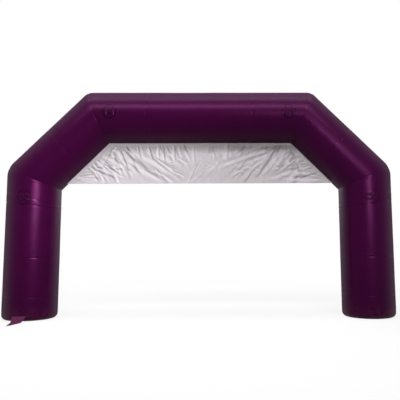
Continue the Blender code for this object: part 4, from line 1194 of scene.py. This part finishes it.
# Banner
# A trapezoid of thin white satin hangs in the opening. A turned-back flange holds it to the grip tape along
# the beam and both diagonals, and its lower edge is hemmed. Packing and pull leave fans of sharp creases.
banner_columns = 470
banner_rows = 96
banner_cloth = 0.0012
banner_hem = 0.030
banner_hem_step = 0.003
banner_hem_stitches = 0.004
banner_thread_lift = 0.9
banner_flange = 0.030
flange_rows = 5
crease_seed = 7
crease_swell_share = 0.5
crease_steep_share, crease_gentle_share = 0.70, 1.35
crease_sharpness = 1.25
crease_valleys = ((0.6, -2.3), (0.2, 2.2))
crease_start_share, crease_end_share = 0.16, 0.5
crease_limit = 0.040
edge_hold = 0.018
edge_hold_fade = 0.08
hem_hold_reach = 0.10
hem_hold_share = 0.45

satin, tree, place = new_look("creased white satin")
tone = cloudy_tone(tree, place, (0.385, 0.37, 0.395, 1), 3.0, 0.12)
crumple = clouds(tree, place, 13.0, 3.0, 0.45)
relief = maths(tree, "MULTIPLY_ADD", woven(tree, 0.0009), 0.00004, maths(tree, "MULTIPLY", crumple, 0.008))
rough = mapped(tree, crumple, (0.0, 1.0), (0.30, 0.46))
finish_look(tree, tone["Colour"], rough, relief, constants={"Sheen Weight": 0.2})

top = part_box("beam_grip_strip")[0].z - weld_gap - banner_cloth / 2
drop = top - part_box("banner")[0].z - banner_cloth / 2
top_reach = beam_reach - (beam_height - top) * math.tan(slope / 2)
bottom_reach = top_reach + drop / math.tan(slope)
pull = np.random.default_rng(crease_seed)


def crease(across, down, start, heading, length, width, height, bend):
    """The rise of one crease: a sharp fold, steep on one side, between two valleys, tapered at both ends."""
    x, z = across - start[0], down - start[1]
    share = (x * math.cos(heading) + z * math.sin(heading)) / length
    side = z * math.cos(heading) - x * math.sin(heading) - bend * length * share * (1 - share)
    spread = width * (crease_swell_share + np.clip(share, 0, 1))
    reach = side / (spread * np.where(side > 0, crease_gentle_share, crease_steep_share))
    fold = np.exp(-np.abs(reach) ** crease_sharpness)
    for depth, place in crease_valleys:
        fold -= depth * bell(reach, place, 1)
    return height * fold * smooth(share / crease_start_share) * smooth((1 - share) / crease_end_share)


def crease_table():
    """Every crease as (start, heading, length, width, height, bend); headings turn downwards."""
    made = []

    def add(count, start, lean, lengths, widths, heights, bend):
        for _ in range(count):
            place, heading = start(), math.radians(lean())
            length, width = pull.uniform(*lengths), pull.uniform(*widths)
            height = pull.uniform(*heights) * pull.choice((-1, 1, 1))
            made.append((place, heading, length, width, height, pull.uniform(-bend, bend)))

    def from_corner(side, spread):
        return lambda: (side * (top_reach - 0.03 - pull.uniform(0, spread)), pull.uniform(0.02, 0.07))

    def from_edge(side, first, last):
        def start():
            fall = pull.uniform(first, last) * drop
            return side * (top_reach + fall / math.tan(slope) - 0.05), fall
        return start

    def leaning(side, low, high):
        return lambda: pull.uniform(low, high) if side < 0 else 180 - pull.uniform(low, high)

    for side in (-1, 1):
        # steep fans from the upper corner, a few that run back under it, and long shallow ones
        add(14, from_corner(side, 0.30), leaning(side, 34, 84),
            (0.5, 1.1), (0.024, 0.048), (0.012, 0.022), 0.10)
        add(6, from_corner(side, 0.10), leaning(side, 96, 126),
            (0.5, 1.0), (0.022, 0.040), (0.009, 0.017), 0.06)
        add(4, from_corner(side, 0.40), leaning(side, 16, 34),
            (1.1, 1.9), (0.030, 0.056), (0.010, 0.016), 0.08)
        # from the diagonal's edge, high and low
        add(12, from_edge(side, 0.10, 0.60), leaning(side, 26, 66),
            (0.45, 1.0), (0.022, 0.042), (0.009, 0.018), 0.12)
        add(11, from_edge(side, 0.50, 0.95), leaning(side, -14, 30),
            (0.5, 1.2), (0.018, 0.036), (0.007, 0.014), 0.10)
        # puckers under the beam, and loose folds in the middle of the cloth
        add(30, lambda: (side * pull.uniform(0.02, 0.97) * top_reach, 0.03), leaning(side, 46, 100),
            (0.14, 0.55), (0.013, 0.030), (0.008, 0.017), 0.10)
        add(20, lambda: (side * pull.uniform(0.0, 0.8) * bottom_reach, pull.uniform(0.25, 0.72) * drop),
            leaning(side, 30, 66), (0.3, 0.8), (0.018, 0.040), (0.008, 0.017), 0.2)
    # small wrinkles in every direction
    add(46, lambda: (pull.uniform(-0.85, 0.85) * bottom_reach, pull.uniform(0.1, 0.9) * drop),
        lambda: pull.uniform(-40, 220), (0.10, 0.4), (0.010, 0.022), (0.002, 0.006), 0.25)
    return made


down_share = np.linspace(0, 1, banner_rows)
down = np.broadcast_to(down_share[:, None] * drop, (banner_rows, banner_columns))
half_across = top_reach + down / math.tan(slope)
across = np.linspace(-1, 1, banner_columns)[None, :] * half_across
rise = np.zeros_like(down)
for values in crease_table():
    rise += crease(across, down, *values)
side_room = (half_across - np.abs(across)) * math.sin(slope)
held = ramp(np.minimum(down, side_room), edge_hold, edge_hold_fade)
rise = held * np.tanh(rise / crease_limit) * crease_limit
rise *= 1 - hem_hold_share * ramp(down, drop - hem_hold_reach, edge_hold_fade)
hem = ramp(down, drop - banner_hem, banner_hem_step)
height = top - down
grid = np.arange(banner_rows * banner_columns).reshape(banner_rows, banner_columns)
points = [np.stack((across, rise, height), 2).reshape(-1, 3)]
flat = [np.stack((across, height), 2).reshape(-1, 2)]
faces = [grid_faces(banner_rows, banner_columns, 0, True, False)[0]]
edge = np.concatenate((grid[::-1, 0], grid[0, 1:-1], grid[:, -1]))
before = edge
for row in range(1, flange_rows + 1):
    turned = banner_flange * row / flange_rows
    after = len(edge) * (row - 1) + grid.size + np.arange(len(edge))
    points.append(points[0][edge] * (1, 0, 1) + (0, turned, 0))
    flat.append(flat[0][edge] + np.array((0, turned)))
    faces.append(np.stack((before[:-1], after[:-1], after[1:], before[1:]), 1))
    before = after
banner = add_piece("satin_banner", np.concatenate(points), np.concatenate(faces), satin)
map_cloth(banner, np.concatenate(flat))
thicker = banner.vertex_groups.new(name="hem")
for row in range(banner_rows):
    if hem[row, 0] > 0:
        thicker.add(grid[row].tolist(), float(hem[row, 0]), "REPLACE")
thick = banner.modifiers.new("cloth and hem", "SOLIDIFY")
thick.thickness = 2 * banner_cloth
thick.offset = 0
thick.use_even_offset = True
thick.vertex_group = "hem"
thick.thickness_vertex_group = 0.5
settled(banner)
fit(banner, "arch", "banner")
hem_row = int(np.searchsorted(down_share * drop, drop - banner_hem + banner_hem_stitches))
line = np.stack((across[hem_row], rise[hem_row] - banner_cloth * banner_thread_lift, height[hem_row]), 1)
white_thread = woven_tape("white thread", (0.70, 0.66, 0.70, 1), 0.0004, 0.5)
hem_stitches = sew("banner_hem_stitches", [line.tolist()], white_thread, "arch", "banner_cloth",
                   Pitch=0.009, Stitch=0.0072, Thread=0.0012)


# Valves
# A moulded inflation valve with a hinged cap is clamped in the back of the left leg, and a relief valve in
# the right. Bodies, nut and cap are injection moulded, stem and poppet are rubber faced, springs are steel.
flange_radius, flange_thickness = 0.042, 0.003
collar_radius, collar_height = 0.0255, 0.010
bore_radius, bore_depth = 0.021, 0.0265
cap_radius, cap_low, cap_high = 0.029, 0.0103, 0.0133
plug_radius, plug_wall, plug_depth = 0.0195, 0.002, 0.004
rim_steps = 120
rim_skin = 0.0002
rim_round = 0.0006
rim_round_steps = 4
rim_rounds_on_an_edge = 2.2
rim_middle = 0.0001
facet_share = math.cos(math.radians(9))


def moulded_plastic(name, colour, roughness):
    """Injection-moulded plastic: a fine spark-eroded grain, faint flow marks, scuffs, and a dusty tint low
    down that is partly a painted reflection of the ground.
    """
    look, tree, place = new_look(name)
    tone = cloudy_tone(tree, place, colour, 40.0, 0.4)
    dust_and_reflection = dusted_with_ground_reflection(tree, place, tone["Colour"], reach=1.2, amount=0.25)
    rough = mapped(tree, tone["Mask"], (0.35, 0.7), (roughness, roughness + 0.2))
    finish_look(tree, dust_and_reflection["Colour"], rough, clouds(tree, place, 2600.0, 2.0), 0.5, 0.0001)
    return look


valve_black = moulded_plastic("black moulded plastic", (0.020, 0.019, 0.021, 1), 0.36)
seal_rubber = moulded_plastic("grey sealing rubber", (0.075, 0.072, 0.070, 1), 0.62)
spring_steel = worn_metal("spring steel", (0.46, 0.45, 0.44, 1), 0.25, 300.0)


def softened(corners):
    """A closed profile with each of its corners cut back into a small round."""
    corners = [np.array(corner) for corner in corners]
    made = []
    for before, corner, after in zip(corners[-1:] + corners[:-1], corners, corners[1:] + corners[:1]):
        near, far = before - corner, after - corner
        shorter = min(np.linalg.norm(near), np.linalg.norm(far))
        cut = min(rim_round, shorter / rim_rounds_on_an_edge)
        start, end = corner + unit(near) * cut, corner + unit(far) * cut
        for s in np.linspace(0, 1, rim_round_steps + 1):
            made.append((1 - s) ** 2 * start + 2 * s * (1 - s) * corner + s * s * end)
    return made


# Smooth round skins lie over the faceted solids: a rim on each valve, and a face and a plug on the cap. The
# solids have 20 facets, and the middle of a facet stands at the facet share of a corner's radius.
relief_low, relief_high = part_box("relief_valve_body")
valve_x = (relief_low.x + relief_high.x) / 2
valve_face = relief_high.y - collar_height
inflation_place = Vector((-valve_x, valve_face, valve_height))
relief_place = Vector((valve_x, valve_face, valve_height))
bore = bore_radius * facet_share - rim_skin / 2
collar, collar_top = collar_radius + rim_skin, collar_height + rim_skin / 2
collar_inside = collar_radius - rim_skin
flange, flange_top = flange_radius + rim_skin, flange_thickness + rim_skin
rim = [
    (bore, -bore_depth), (bore, collar_top), (collar, collar_top), (collar, flange_top), (flange, flange_top),
    (flange, rim_skin / 2), (collar_inside, rim_skin / 2), (collar_inside, -bore_depth),
]
cap, cap_under, cap_top = cap_radius + rim_skin, cap_low - rim_skin / 4, cap_high + rim_skin
cap_face = [(rim_middle, cap_under), (cap, cap_under), (cap, cap_top), (rim_middle, cap_top)]
plug, plug_inside = plug_radius + rim_skin / 2, (plug_radius - plug_wall) * facet_share - rim_skin / 2
plug_top, plug_end = cap_low + rim_skin, cap_low - plug_depth - rim_skin / 2
cap_plug = [(plug_inside, plug_top), (plug_inside, plug_end), (plug, plug_end), (plug, plug_top)]
for name, place, profile, body in (
    ("inflation_valve_rim", inflation_place, rim, "arch"), ("relief_valve_rim", relief_place, rim, "arch"),
    ("inflation_cap_face", inflation_place, cap_face, "inflation_cap"),
    ("inflation_cap_plug", inflation_place, cap_plug, "inflation_cap"),
):
    skin = turned_ring(name, place, softened(profile), rim_steps, valve_black, upright=False)
    fit(skin, body)

# Coil springs with closed ends. Each one is pressed towards the seat by its stem or poppet.
spring_turns = 6
spring_closed_turns = 0.75
spring_closed_slope = 0.3
spring_steps = 32
wire_radius = 0.0006
wire_sides = 12


def coil_spring(side, place):
    """A wound steel spring between the hub and the stem's head."""
    node = f"{side}_valve_spring"
    low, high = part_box(node)
    turns = np.linspace(0, spring_turns, spring_turns * spring_steps + 1)
    closed = (turns < spring_closed_turns) | (turns > spring_turns - spring_closed_turns)
    steepness = np.where(closed, spring_closed_slope, 1.0)
    climb = np.concatenate(([0], np.cumsum((steepness[1:] + steepness[:-1]) / 2)))
    run = low.y + wire_radius + climb / climb[-1] * (high.y - low.y - 2 * wire_radius)
    angle = 2 * math.pi * turns
    coil_radius = (high.x - low.x) / 2 - wire_radius
    path = np.stack((place.x + coil_radius * np.cos(angle), run, place.z + coil_radius * np.sin(angle)), 1)
    outwards = np.stack((np.cos(angle), np.zeros(len(angle)), np.sin(angle)), 1)
    across = np.cross(unit(np.gradient(path, axis=0)), outwards)
    spring = round_rod(
        f"{side}_coil_spring", path, outwards, across, wire_radius, wire_sides, spring_steel, closed=False
    )
    fit(spring, "arch", node)
    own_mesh(spring)


coil_spring("inflation", inflation_place)
coil_spring("relief", relief_place)

# The moulded solids keep their own shape.
for look, nodes in (
    (valve_black, ("inflation_valve_body", "inflation_valve_nut", "inflation_valve_cap")),
    (valve_black, ("relief_valve_body",)),
    (seal_rubber, ("inflation_valve_stem", "relief_valve_poppet")),
):
    for node in nodes:
        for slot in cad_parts[node].material_slots:
            slot.material = look
